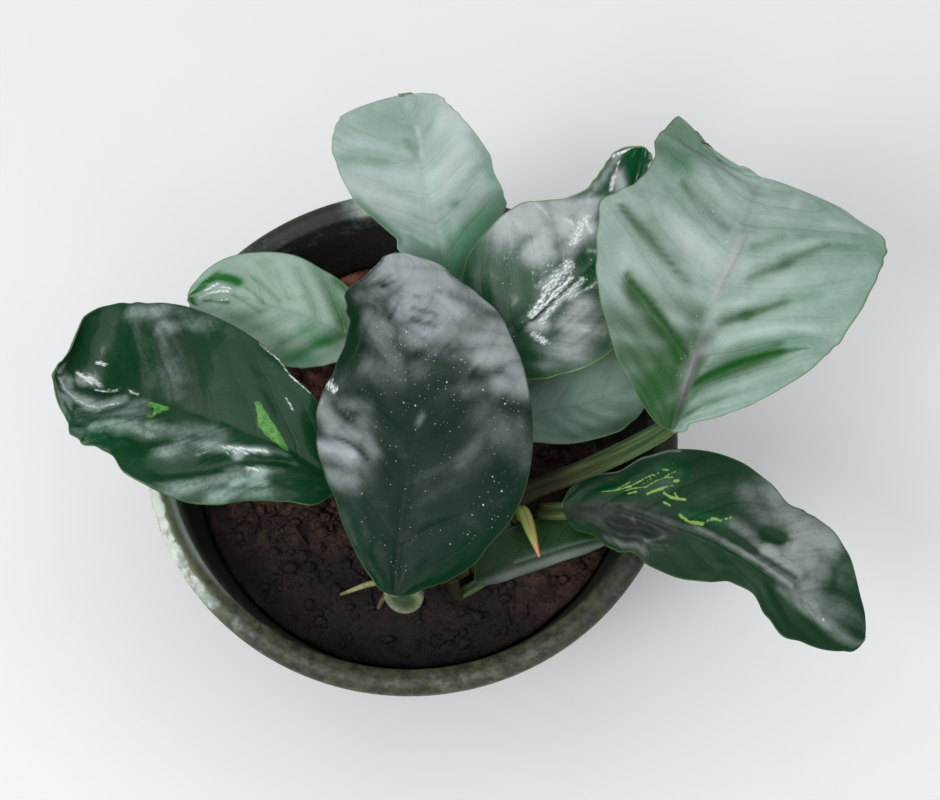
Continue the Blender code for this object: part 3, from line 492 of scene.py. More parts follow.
BACK_LEFT = {
    "midrib": [(-8, 14, 86), (-16, 18, 88), (-25, 21, 89), (-34, 24, 88), (-42, 24, 86)],
    "rows": [
        (12, 10, 10, 10, -10, -10, 0, 0), (12, 10, 10, 10, -10, -10, 0, 0),
        (11, 10, 10, 10, -10, -10, 0, 0), (11, 10, 10, 10, -10, -10, 0, 0),
        (10, 9, 10, 10, -10, -10, 0, 0), (8, 7, 10, 10, -10, -10, 0, 0)],
    "left_margin": [
        (0, 0), (0.1, -1.4), (0.16, -0.8), (0.28, 0.1), (0.34, 0.5), (0.46, 0.2), (0.6, -0.8),
        (0.7, -0.8), (0.82, 0), (0.93, -0.3), (1, 0)],
    "right_margin": [
        (0, 0), (0.1, 0.4), (0.2, -0.3), (0.34, 0.1), (0.46, 0.5), (0.7, -0.1), (0.93, -0.4),
        (1, 0)],
    "folds": [
        (0.3, 0.1, 0.45, 0.8, 1, -0.3), (0.5, 0.1, 0.65, 0.8, 1, -0.3),
        (0.3, -0.1, 0.45, -0.8, 1, -0.3), (0.55, -0.1, 0.7, -0.8, 1, -0.3)],
    "wave": (0.3, 2.5, 0.4),
    "veins": (7, 0.24, 0.28),
    "quilt": 0.04,
    "stalk": [(0.2, -24.5, 76), (-1, -17, 79), (-4, 2, 82)],
    "stalk_radii": (1.6, 1.4, 1.3, 1.2, 1.1),
    "finish": {"roughness": 0.45, "specular": 0.3},
    "deep": (0.022, 0.105, 0.028),
    "pale": (0.33, 0.445, 0.375),
    "margin": (0.09, 0.22, 0.08),
    "grain": 0.25,
    "tone": 0.72,
    "tones": [(0.14, 0, 0.08, 1.4, -0.45), (0.45, 0.4, 0.2, 0.5, 0.05)],
    "sheens": [
        (0.96, 0.35, 0.84, 0.55, 1.5, -0.8, 0.4), (0.84, 0.55, 0.72, 0.28, 1.1, -0.75, 0.3),
        (0.99, 0, 0.97, -0.5, 1, -0.6, 0.3), (0.9, -0.22, 0.74, -0.24, 0.6, -0.42, 0.3),
        (0.7, 0.22, 0.56, -0.02, 0.4, -0.22, 0.2), (0.66, 0.42, 0.5, 0.1, 0.5, -0.18, 0.2),
        (0.72, -0.05, 0.56, -0.22, 0.5, -0.2, 0.2), (0.72, -0.5, 0.42, -0.55, 2.2, -0.2, 0.2),
        (0.4, -0.8, 0.2, -0.85, 2, -0.18, 0.3), (0.32, -0.3, 0.18, -0.4, 2, -0.1, 0.3),
        (0.27, 0.95, 0.19, 0.92, 1.2, -0.5, 0.1), (0.19, 0.6, 0.16, 0.2, 1.2, -0.2),
        (0.46, 0.2, 0.4, 0.3, 0.5, -0.12, 0.2)],
    "glints": [
        (0.9, 0.22, 0.82, 0.28, 0.45, 0.85), (0.88, 0.06, 0.76, 0.05, 0.45, 0.85),
        (0.94, -0.08, 0.9, 0, 0.35, 0.75), (0.8, 0.16, 0.74, 0.12, 0.35, 0.7),
        (0.84, -0.22, 0.74, -0.16, 0.35, 0.6)],
    "dust": [(0.8, 0.4, 0.15, 0.5, 0.8)],
}
BACK = {
    "midrib": [(8, 22, 93), (5, 31, 100), (3, 38, 106), (1, 45, 111), (-2, 52, 113)],
    "rows": [
        (5, 14, 10, -10, -10, -5, 0, 0), (8, 15, 10, -5, -10, -10, 0, 0),
        (13, 14, 10, 5, -10, -10, 0, 0), (16, 12, 10, 10, -10, -10, 0, 0),
        (19, 10, 10, 10, -10, -10, 1, -1), (22, 8, 10, 10, -10, -10, 4, -3)],
    "left_margin": [
        (0, 0), (0.05, 0.5), (0.16, 1), (0.22, 0.8), (0.28, -1.1), (0.4, -1.7), (0.52, -1.2),
        (0.7, -0.9), (0.82, 0.1), (0.88, 0.6), (0.93, 1.5), (0.97, 3), (0.99, 4.2), (1, 2)],
    "right_margin": [
        (0, 0), (0.16, 0), (0.28, 0.7), (0.34, -0.1), (0.46, -0.8), (0.58, 0.3), (0.76, 0.5),
        (0.82, 1), (0.88, 1.7), (0.93, 2.8), (0.97, 3.3), (0.99, 4), (1, 2)],
    "folds": [
        (0.4, -0.1, 0.55, -0.75, 1, -0.25), (0.6, -0.12, 0.75, -0.75, 1, -0.25),
        (0.35, 0.1, 0.5, 0.8, 1, -0.25), (0.55, 0.1, 0.68, 0.8, 1, -0.2)],
    "wave": (0.3, 2.5, 0),
    "veins": (7, 0.24, 0.25),
    "quilt": 0.03,
    "stalk": [(7, -22.4, 76.4), (7.4, -14, 80), (8, 8, 86)],
    "stalk_radii": (1.7, 1.4, 1.3, 1.2, 1.2),
    "finish": {"roughness": 0.6, "specular": 0.3},
    "deep": (0.095, 0.175, 0.12),
    "pale": (0.43, 0.51, 0.49),
    "margin": (0.23, 0.33, 0.19),
    "grain": 0.25,
    "tone": 0.64,
    "tones": [
        (0.85, -0.2, 0.16, 0.8, -0.12), (0.1, 0.2, 0.12, 1.2, -0.62), (0.5, 0.05, 0.12, 0.7, 0.26),
        (0.8, 0.75, 0.2, 0.3, 0.18)],
    "tints": [(0.8, -0.3, 0.25, 0.6, 0.35), (0.12, 0.4, 0.18, 0.8, 0.5)],
    "sheens": [
        (0.72, -0.88, 0.64, -0.45, 1.3, -0.22, 0.2), (0.82, -0.72, 0.74, -0.42, 1.2, 0.12),
        (0.5, -0.98, 0.26, -0.96, 1.2, -0.4, 0.2), (0.6, -0.85, 0.42, -0.55, 2, 0.1, -0.1),
        (0.78, 0.1, 0.63, 0.02, 0.5, 0.18), (0.74, -0.12, 0.64, -0.04, 0.6, -0.16),
        (0.52, 0.03, 0.42, 0.06, 0.9, 0.12, 0.3), (0.68, 0.93, 0.46, 0.95, 1.4, -0.22, 0.1),
        (0.36, 0.3, 0.365, 0.34, 0.7, -0.3, 0.2), (0.34, 0.1, 0.2, 0.15, 1, -0.1, 0.2),
        (0.3, -0.75, 0.2, -0.2, 0.5, 0.25, 0.8), (0.44, 0.2, 0.56, 0.6, 1.5, 0.1, -0.1)],
    "dust": [(0.5, 0, 0.5, 1, 0.4)],
}
BACK_RIGHT = {
    "midrib": [
        (14, 9, 94), (22, 15, 98), (30, 21, 101), (36, 27, 103), (40, 35, 107), (42, 42, 112)],
    "rows": [
        (20, 15, 15, 10, -15, -10, 0, 0), (20, 17, 15, 10, -15, -10, 0, 0),
        (18, 15, 10, 10, -10, -10, 0, 0), (15, 10, 5, 10, -10, -10, 0, 0),
        (10, 6, 20, 20, -10, -10, 0, 0), (9, 6, 30, 30, -10, -10, 0, 0)],
    "left_margin": [
        (0, 0), (0.1, 1.5), (0.16, 1.3), (0.22, 0.6), (0.28, 0.1), (0.52, 0.4), (0.64, 0.3),
        (0.7, -0.8), (0.76, -1.1), (0.82, -0.2), (0.88, 0.5), (0.93, 1.2), (0.97, 1.8),
        (0.99, 2.4), (1, 1)],
    "right_margin": [
        (0, 0), (0.04, 1.5), (0.1, 0.8), (0.16, 0), (0.34, -0.3), (0.46, -1.4), (0.64, -2.2),
        (0.82, -1.7), (0.93, -1.2), (0.97, 0.2), (0.99, 0.8), (1, 0)],
    "folds": [
        (0.12, -0.05, 0.5, -0.05, 1.4, -0.7), (0.25, -0.15, 0.36, -0.8, 1.2, -0.4),
        (0.4, -0.15, 0.54, -0.8, 1.2, -0.4), (0.2, 0.12, 0.34, 0.8, 1.2, -0.4)],
    "wave": (0.3, 3, 0.3),
    "veins": (8, 0.24, 0.25),
    "quilt": 0.05,
    "stalk": [(10.4, -20.8, 76.5), (10.8, -14, 81), (11, -2, 88)],
    "stalk_radii": (1.8, 1.5, 1.4, 1.3, 1.3),
    "finish": {"roughness": 0.36, "specular": 0.25, "coat": 0.2, "coat_roughness": 0.12},
    "deep": (0.012, 0.06, 0.026),
    "pale": (0.39, 0.445, 0.44),
    "margin": (0.16, 0.26, 0.08),
    "grain": 0.38,
    "tone": 0.05,
    "tints": [(0.9, 0, 0.1, 1, 0.4)],
    "sheens": [
        (0.34, -0.92, 0.66, -0.78, 4, 0.92, -0.2), (0.34, -0.5, 0.46, -0.52, 2.6, 0.85, -0.2),
        (0.42, -0.72, 0.58, -0.66, 2.8, 0.9, -0.2), (0.19, 0.1, 0.21, 0.2, 1.6, 0.85, -0.2),
        (0.86, -0.5, 0.82, -0.3, 1.8, 1, -0.1), (0.42, -0.34, 0.48, -0.32, 1.8, 0.66, -0.2),
        (0.36, 0.1, 0.38, 0.06, 1.6, 0.9, -0.2), (0.44, -0.58, 0.6, -0.5, 3, 0.9, -0.2),
        (0.53, -0.36, 0.62, -0.36, 2, 0.9, -0.2), (0.6, -0.4, 0.72, -0.62, 2, 0.95, -0.2),
        (0.24, 0.66, 0.3, 0.56, 3.6, 0.58, -0.3), (0.28, 0.4, 0.36, 0.32, 2.2, 0.66, -0.3),
        (0.13, 0.75, 0.2, 0.8, 2, 0.26, -0.2), (0.22, 0.08, 0.38, 0.04, 1.4, 0.55, -0.2),
        (0.26, -0.12, 0.42, -0.16, 1.2, 0.5, -0.2), (0.2, 0.03, 0.46, -0.02, 0.45, -0.6),
        (0.42, 0.1, 0.52, -0.06, 1.2, -0.6, 0.3), (0.8, -0.86, 0.96, -0.8, 2, 0.46),
        (0.2, 0.4, 0.36, 0.36, 0.4, -0.16), (0.24, 0.66, 0.4, 0.62, 0.4, -0.14),
        (0.3, -0.6, 0.5, -0.7, 0.6, -0.12), (0.45, -0.8, 0.62, -0.88, 0.6, -0.1)],
    "glints": [
        (0.2, -0.03, 0.28, -0.1, 0.6, 0.75), (0.3, -0.12, 0.43, -0.17, 1.1, 0.75),
        (0.2, 0, 0.4, -0.06, 0.35, 1), (0.22, 0.14, 0.31, 0.06, 0.9, 0.75),
        (0.31, 0.06, 0.42, 0.06, 1, 0.75), (0.17, 0.24, 0.185, 0.42, 0.9, 0.75),
        (0.34, 0.13, 0.45, 0.26, 0.5, 0.6), (0.26, -0.66, 0.34, -0.44, 1.5, 0.3),
        (0.3, -0.3, 0.42, -0.28, 1.5, 0.3), (0.66, -0.46, 0.5, -0.3, 0.9, 0.8),
        (0.8, -0.5, 0.86, -0.6, 0.8, 1), (0.88, -0.6, 0.93, -0.66, 0.5, 0.85),
        (0.95, -0.92, 0.98, -0.7, 0.8, 0.95)],
    "dust": [(0.33, 0, 0.25, 0.5, 1), (0.15, -0.3, 0.1, 0.5, 0.6)],
}
UNDER = {
    "midrib": [(12, 0, 80), (22, 2, 83), (31, 3, 85), (40, 6, 86), (47, 11, 85)],
    "rows": [(9, 7, 5, 5, 0, 0, 0, 0)] * 6,
    "left_margin": [
        (0, 0), (0.1, 0.3), (0.22, -0.5), (0.34, -0.2), (0.46, 0.3), (0.64, 0.9), (0.76, 1.7),
        (1, 0)],
    "right_margin": [
        (0, 0), (0.1, -1), (0.22, -0.1), (0.46, 0.5), (0.64, 0.9), (0.7, 0.2), (0.8, -1),
        (0.93, -0.9), (1, 0)],
    "folds": [(0.3, 0.1, 0.45, 0.8, 1, -0.3), (0.5, 0.1, 0.65, 0.8, 1, -0.3)],
    "wave": (0.3, 2.5, 0.4),
    "veins": (8, 0.24, 0.28),
    "quilt": 0.015,
    "stalk": [(13.8, -18.4, 76.6), (12.5, -12, 77)],
    "stalk_radii": (1.5, 1.4, 1.3, 1.2),
    "finish": {"roughness": 0.5, "specular": 0.3},
    "deep": (0.02, 0.055, 0.03),
    "pale": (0.2, 0.3, 0.235),
    "margin": (0.08, 0.13, 0.06),
    "grain": 0.25,
    "tone": 0.72,
    "tones": [
        (0.55, -0.4, 0.2, 0.5, 0.2), (0.62, 0.92, 0.2, 0.35, -0.5), (0.28, -0.7, 0.1, 0.5, -0.3),
        (0.76, 0.3, 0.06, 0.8, 0.3)],
    "sheens": [
        (0.45, -0.6, 0.6, -0.4, 1.2, 0.2), (0.6, 0.2, 0.7, 0.6, 1, -0.15, 0.1),
        (0.42, 0.15, 0.52, 0.7, 0.8, -0.12)],
    "dust": [(0.6, 0, 0.4, 0.8, 0.4)],
}
RIGHT_LOW = {
    "midrib": [
        (28, -16, 82), (37, -17, 85), (46, -20.5, 87), (56, -25, 88), (65, -31, 87), (74, -36, 84),
        (82, -40, 80)],
    "rows": [
        (11, 8, 10, -10, 0, 0, 0, 0), (13, 9, 10, -10, 0, 0, 0, 0),
        (15.5, 9.5, 5, -10, 0, 0, 0, 0), (14, 6, 0, -10, 0, 0, 0, 0), (15, 9, -5, 0, 0, 0, 0, 0),
        (11, 9, -5, 0, 0, 0, 0, 0)],
    "left_margin": [
        (0, 0), (0.05, -0.4), (0.1, -1.3), (0.16, -2.4), (0.22, -0.5), (0.28, 0.4), (0.46, 0.5),
        (0.52, 0), (0.58, -0.7), (0.64, 0.6), (0.7, 1.3), (0.76, 1.6), (0.82, 1.1), (0.93, 0.8),
        (0.97, 0.8), (1, 0)],
    "right_margin": [
        (0, 0), (0.02, 1.1), (0.1, 0.2), (0.16, 0.6), (0.22, 0.1), (0.28, -1.5), (0.34, -0.9),
        (0.46, -0.2), (0.52, -0.1), (0.58, -1.4), (0.64, -1.9), (0.7, -0.2), (0.76, 0.8),
        (0.82, 0), (0.95, 0.4), (0.99, 1.4), (1, 0)],
    "bumps": [(0.2, 0.5, 0.07, 0.35, -1.5)],
    "folds": [
        (0.2, -0.05, 0.75, 0.02, 0.7, 0.5), (0.16, 0.35, 0.3, 0.3, 1, -0.7),
        (0.2, 0.15, 0.34, 0.2, 0.8, 0.4), (0.3, 0.6, 0.36, 0.45, 0.9, 0.5),
        (0.58, -0.5, 0.66, -0.48, 0.9, -0.4), (0.74, -0.1, 0.84, -0.5, 1.2, -0.3)],
    "wave": (0.6, 3.5, 0.3),
    "veins": (8, 0.22, 0.28),
    "quilt": 0.05,
    "fine": 1.5,
    "stalk": [(24.6, -14.2, 75)],
    "stalk_radii": (1.8, 1.6, 1.5),
    "finish": {"roughness": 0.42, "specular": 0.12},
    "deep": (0.007, 0.034, 0.013),
    "pale": (0.265, 0.315, 0.295),
    "margin": (0.04, 0.09, 0.03),
    "grain": 0.4,
    "tone": 0,
    "tones": [
        (0.84, 0, 0.1, 0.8, 0.24), (0.93, 0.4, 0.07, 0.8, 0.28), (0.76, 0.1, 0.06, 0.3, 0.25)],
    "tints": [(0.14, 0.3, 0.16, 0.45, -0.7)],
    "sheens": [
        (0.06, 0.15, 0.34, 0.1, 2.4, 0, -0.8), (0.55, -0.92, 0.64, -0.84, 3.2, 0.58, -0.3),
        (0.5, -0.7, 0.56, -0.66, 2.2, 0.36, -0.3), (0.66, -0.74, 0.76, -0.84, 3.6, 0.84, -0.3),
        (0.67, -0.46, 0.73, -0.5, 3, 0.9, -0.3), (0.61, -0.26, 0.72, -0.26, 1.8, 0.85, -0.2),
        (0.5, -0.3, 0.6, -0.28, 1.2, 0.42, -0.3), (0.76, -0.25, 0.78, -0.5, 2.4, 0.6),
        (0.4, -0.5, 0.48, -0.8, 2.6, 0.12, 0.1), (0.84, -0.7, 0.88, -0.9, 2.6, 0.28, 0.2),
        (0.585, -0.47, 0.63, -0.52, 0.85, -0.65, 0.1), (0.6, -0.5, 0.66, -0.56, 0.5, -0.3),
        (0.34, 0, 0.42, -0.06, 0.6, 0.16, -0.4), (0.42, -0.06, 0.5, -0.05, 0.45, 0.36, -0.4),
        (0.5, -0.05, 0.62, -0.08, 0.55, 0.6, -0.3), (0.62, -0.08, 0.72, -0.06, 0.55, 0.7, -0.2),
        (0.72, -0.06, 0.82, 0.02, 0.8, 0.3), (0.5, -0.17, 0.72, -0.18, 0.45, -0.45),
        (0.7, 0.15, 0.86, 0.3, 1.2, 0.24, 0.1), (0.16, 0.8, 0.3, 0.78, 1.2, 0.4, -0.4),
        (0.2, 0.56, 0.3, 0.55, 0.6, 0.22, -0.4), (0.235, 0.1, 0.26, 0.4, 0.5, 0.22, -0.5),
        (0.205, 0.22, 0.24, 0.5, 0.35, -0.2, -0.3), (0.27, 0.2, 0.29, 0.4, 0.3, -0.2, -0.3),
        (0.3, 0.58, 0.345, 0.3, 0.45, 0.32, -0.4), (0.14, -0.1, 0.3, -0.14, 0.6, 0.12, -0.5),
        (0.08, 0.35, 0.16, 0.42, 0.5, 0.1, -0.6), (0.105, -0.98, 0.3, -0.98, 0.3, 0.6),
        (0.14, -0.42, 0.2, -0.48, 1.4, 0.16, 0.9), (0.22, -0.46, 0.3, -0.52, 2.2, 0.26, 0.9),
        (0.26, -0.7, 0.32, -0.66, 1.6, 0.18, 0.9), (0.37, -0.16, 0.48, -0.26, 0.9, 0.2, 0.9)],
    "streaks": [
        (0.125, -0.42, 0.16, -0.45, 0.14), (0.16, -0.45, 0.2, -0.47, 0.16),
        (0.155, -0.46, 0.2, -0.56, 0.12), (0.2, -0.45, 0.235, -0.6, 0.16),
        (0.235, -0.6, 0.25, -0.64, 0.12), (0.24, -0.42, 0.262, -0.52, 0.14),
        (0.262, -0.52, 0.29, -0.59, 0.16), (0.29, -0.59, 0.31, -0.6, 0.12),
        (0.255, -0.32, 0.28, -0.4, 0.2), (0.28, -0.4, 0.305, -0.47, 0.17),
        (0.2, -0.31, 0.225, -0.35, 0.17), (0.315, -0.55, 0.328, -0.56, 0.17),
        (0.3, -0.37, 0.325, -0.33, 0.14), (0.325, -0.33, 0.365, -0.345, 0.19),
        (0.27, -0.71, 0.288, -0.7, 0.1), (0.288, -0.7, 0.292, -0.8, 0.1),
        (0.285, -0.61, 0.308, -0.68, 0.11), (0.31, -0.25, 0.335, -0.22, 0.12),
        (0.365, -0.15, 0.395, -0.1, 0.17), (0.395, -0.1, 0.43, -0.13, 0.22),
        (0.43, -0.13, 0.45, -0.24, 0.12), (0.45, -0.24, 0.465, -0.25, 0.17),
        (0.465, -0.2, 0.475, -0.3, 0.1), (0.48, -0.3, 0.49, -0.36, 0.11),
        (0.18, -0.38, 0.24, -0.44, 0.09), (0.235, -0.5, 0.265, -0.66, 0.09),
        (0.265, -0.36, 0.32, -0.5, 0.09), (0.33, -0.4, 0.35, -0.3, 0.08)],
    "glints": [(0.66, -0.26, 0.71, -0.36, 0.3, 0.4), (0.845, 0.2, 0.85, 0.24, 0.25, 0.7)],
    "dust": [(0.8, 0, 0.25, 0.9, 0.5)],
}
FRONT_LOW = {
    "midrib": [
        (12, -27.5, 72), (18, -25, 74), (25, -23, 75.5), (31, -21.3, 76.5), (37, -20, 76.5)],
    "rows": [
        (4, 4, 30, -30, 0, 0, 0, 0), (5, 4, 25, -30, 0, 0, 0, 0), (5, 3.5, 10, -30, 0, 0, 0, 0),
        (5, 3.5, 5, -30, 0, 0, 0, 0), (5, 3.5, 5, -30, 0, 0, 0, 0), (4, 3.5, 5, -30, 0, 0, 0, 0)],
    "left_margin": [(0, 0), (0.1, 1.6), (0.5, 1.8), (0.8, 1.8), (1, 0)],
    "right_margin": [(0, 0), (0.1, -0.6), (0.34, -0.9), (0.58, -1), (0.82, -0.6), (1, 0)],
    "wave": (0.2, 2.5, 0.4),
    "veins": (7, 0.24, 0.28),
    "quilt": 0,
    "stalk": [(7.5, -27.3, 74.4), (8.2, -28.8, 71.5)],
    "stalk_radii": (1.4, 1.2, 1.1, 1),
    "finish": {"roughness": 0.45, "specular": 0.2},
    "deep": (0.008, 0.028, 0.008),
    "pale": (0.125, 0.155, 0.135),
    "margin": (0.07, 0.1, 0.06),
    "grain": 0.1,
    "tone": 0.03,
    "tones": [(0.6, 0.7, 0.6, 0.4, 0.95)],
    "sheens": [(0.3, -0.05, 0.95, -0.02, 0.3, 0.45, 0.5), (0.2, -0.6, 0.9, -0.5, 2, 0, 0.5)],
}
LEAF_DEFAULTS = {"pulls": [], "bumps": [], "folds": [], "tones": [], "tints": [], "sheens": [],
                 "patches": [], "streaks": [], "glints": [], "dust": [], "fine": 1,
                 "cupped": False, "neck": None}
LEAVES = {name: {**LEAF_DEFAULTS, **leaf} for name, leaf in (
    ("centre", CENTRE), ("right", RIGHT), ("left", LEFT), ("back_left", BACK_LEFT),
    ("back", BACK), ("back_right", BACK_RIGHT), ("under", UNDER), ("right_low", RIGHT_LOW),
    ("front_low", FRONT_LOW))}


def smooth_rows(rows, places):
    """Read rows of numbers along a smooth curve, at places from 0 to 1."""
    rows = np.asarray(rows, float)
    last = len(rows) - 1
    padded = np.vstack([2 * rows[0] - rows[1], rows, 2 * rows[-1] - rows[-2]])
    scaled = np.clip(places, 0.0, 1.0) * last
    index = np.minimum(scaled.astype(int), last - 1)
    part = (scaled - index)[..., None]
    a, b, c, d = (padded[index + step] for step in range(4))
    return 0.5 * (2 * b + (c - a) * part + (2 * a - 5 * b + 4 * c - d) * part ** 2
                  + (3 * b - a - 3 * c + d) * part ** 3)


def unit(vectors):
    """Return vectors scaled to length one."""
    length = np.linalg.norm(vectors, axis=-1, keepdims=True)
    return vectors / np.maximum(length, 1e-12)


def hump(distance, reach):
    """Return 1 at distance 0, falling softly to 0 beyond the reach."""
    return np.exp(-(distance / reach) ** 2)


def share_of(value, start, end):
    """Return how far a value is from start to end, kept within 0 and 1."""
    return np.clip((value - start) / (end - start), 0.0, 1.0)


def noise_at(points, spacing, seed):
    """Return smooth noise at points, about -1 to 1, with features of the spacing's size."""
    flat = np.asarray(points, float).reshape(-1, 3) / spacing + seed
    values = [noise.noise(Vector(point)) for point in flat]
    return np.array(values).reshape(np.shape(points)[:-1])


def at_height(x, y, height=0.0):
    """Return points at places in plan and a height."""
    return np.stack([x, y, 0 * x + height], -1)


def mesh_object(name, points, faces, materials, values=None):
    """Return a smooth-shaded object from points in millimetres, with named point values."""
    mesh = bpy.data.meshes.new(name)
    mesh.from_pydata((np.asarray(points).reshape(-1, 3) * MM).tolist(), [], faces)
    for key, data in (values or {}).items():
        layer = mesh.attributes.new(key, "FLOAT", "POINT")
        layer.data.foreach_set("value", np.asarray(data, np.float32).ravel())
    for material in materials:
        mesh.materials.append(material)
    mesh.shade_smooth()
    item = bpy.data.objects.new(name, mesh)
    bpy.context.scene.collection.objects.link(item)
    return item


def welded(item):
    """Merge the points of an object's mesh that lie together, and return the object."""
    shape = bmesh.new()
    shape.from_mesh(item.data)
    bmesh.ops.remove_doubles(shape, verts=shape.verts, dist=WELD_DISTANCE * MM)
    bmesh.ops.recalc_face_normals(shape, faces=shape.faces)
    shape.to_mesh(item.data)
    shape.free()
    return item


def point_values(item, name):
    """Read named point values back from an object."""
    values = np.zeros(len(item.data.vertices), np.float32)
    item.data.attributes[name].data.foreach_get("value", values)
    return values


def grid_faces(rows, columns, closed=False):
    """Return quads for a grid of points stored row by row."""
    faces = []
    for row in range(rows - 1):
        for column in range(columns if closed else columns - 1):
            ahead = (column + 1) % columns
            faces.append((row * columns + column, row * columns + ahead,
                          (row + 1) * columns + ahead, (row + 1) * columns + column))
    return faces


class Shade:
    """Builds one material. Its methods add nodes and return an output socket."""

    def __init__(self, name, roughness=0.4, specular=0.5, coat=0.0, coat_roughness=0.1):
        self.material = bpy.data.materials.new(name)
        self.material.use_nodes = True
        self.tree = self.material.node_tree
        self.shader = self.tree.nodes["Principled BSDF"]
        self.shader.inputs["Roughness"].default_value = roughness
        self.shader.inputs["Specular IOR Level"].default_value = specular
        self.shader.inputs["Coat Weight"].default_value = coat
        self.shader.inputs["Coat Roughness"].default_value = coat_roughness
        self.colour = None

    def put(self, socket, value):
        """Link an output socket to an input, or set a plain value there."""
        if isinstance(value, bpy.types.NodeSocket):
            self.tree.links.new(value, socket)
        elif isinstance(value, tuple) and len(value) == 3 and socket.type == "RGBA":
            socket.default_value = (*value, 1.0)
        else:
            socket.default_value = value

    def node(self, kind, **settings):
        """Add a node with its settings."""
        node = self.tree.nodes.new(kind)
        for key, value in settings.items():
            setattr(node, key, value)
        return node

    def value(self, name):
        """Read a named point value."""
        return self.node("ShaderNodeAttribute", attribute_name=name).outputs["Fac"]

    def place(self):
        """Return the point's place in millimetres."""
        mapping = self.node("ShaderNodeMapping")
        mapping.inputs["Scale"].default_value = [1 / MM] * 3
        self.put(mapping.inputs["Vector"], self.node("ShaderNodeTexCoord").outputs["Object"])
        return mapping.outputs["Vector"]

    def vector(self, x, y, z=0.0):
        """Combine three values into a vector."""
        node = self.node("ShaderNodeCombineXYZ")
        for socket, value in zip(node.inputs, (x, y, z)):
            self.put(socket, value)
        return node.outputs[0]

    def math(self, operation, a, b=0.0):
        """Combine two numbers."""
        node = self.node("ShaderNodeMath", operation=operation)
        self.put(node.inputs[0], a)
        self.put(node.inputs[1], b)
        return node.outputs[0]

    def sum(self, first, *others):
        """Add up numbers."""
        for other in others:
            first = self.math("ADD", first, other)
        return first

    def times(self, a, b):
        """Multiply two numbers."""
        return self.math("MULTIPLY", a, b)

    def less(self, a, b, amount=1.0):
        """Take an amount of b from a."""
        return self.math("SUBTRACT", a, b if amount == 1.0 else self.times(b, amount))

    def band(self, value, low, high, start=0.0, end=1.0):
        """Rise smoothly from start to end while the value goes from low to high."""
        node = self.node("ShaderNodeMapRange", interpolation_type="SMOOTHSTEP")
        self.put(node.inputs["Value"], value)
        for name, bound in zip(("From Min", "From Max", "To Min", "To Max"),
                               (low, high, start, end)):
            node.inputs[name].default_value = bound
        return node.outputs["Result"]

    def whole(self, value, low, high):
        """Rise to 1 where a value passes a whole number; low and high are at most a half."""
        part = self.less(self.math("FRACT", value), 0.5)
        return self.band(self.math("ABSOLUTE", part), low, high)

    def noise(self, spacing, detail=3.0, roughness=0.55, where=None):
        """Return noise from 0 to 1 with features of the spacing in millimetres."""
        node = self.node("ShaderNodeTexNoise")
        self.put(node.inputs["Vector"], where or self.place())
        node.inputs["Scale"].default_value = 1.0 / spacing
        node.inputs["Detail"].default_value = detail
        node.inputs["Roughness"].default_value = roughness
        return node.outputs["Fac"]

    def swing(self, amount, value, low=0.3, high=0.7):
        """Swing by an amount to both sides of zero while the value goes from low to high."""
        return self.band(value, low, high, -amount, amount)

    def cells(self, spacing, feature="F1", output="Distance"):
        """Return a cell pattern with cells of the spacing in millimetres."""
        node = self.node("ShaderNodeTexVoronoi", feature=feature)
        self.put(node.inputs["Vector"], self.place())
        node.inputs["Scale"].default_value = 1.0 / spacing
        return node.outputs[output]

    def net(self, spacing):
        """Return 1 on the fine lines between cells and 0 inside them."""
        return self.band(self.cells(spacing, "DISTANCE_TO_EDGE"), 0.0, 0.10, 1.0, 0.0)

    def chances(self, spacing):
        """Return three random numbers from 0 to 1 for each cell of a pattern."""
        node = self.node("ShaderNodeSeparateColor")
        self.put(node.inputs[0], self.cells(spacing, output="Color"))
        return node.outputs

    def mix(self, a, b, factor):
        """Blend two colours."""
        node = self.node("ShaderNodeMix", data_type="RGBA")
        self.put(node.inputs["Factor"], factor)
        self.put(node.inputs[6], a)
        self.put(node.inputs[7], b)
        return node.outputs[2]

    def lay(self, colour, share=None):
        """Lay a colour over the ones before it by a share from 0 to 1, or as the first one."""
        self.colour = colour if share is None else self.mix(self.colour, colour, share)

    def bump(self, height, depth):
        """Return a normal raised by a height pattern; depth is in millimetres."""
        node = self.node("ShaderNodeBump")
        node.inputs["Strength"].default_value = 1.0
        node.inputs["Distance"].default_value = depth * MM
        self.put(node.inputs["Height"], height)
        return node.outputs["Normal"]

    def finish(self, roughness=None, normal=None):
        """Connect the shader and return the material."""
        self.put(self.shader.inputs["Base Color"], self.colour)
        if roughness is not None:
            self.put(self.shader.inputs["Roughness"], roughness)
        if normal is not None:
            self.put(self.shader.inputs["Normal"], normal)
        return self.material


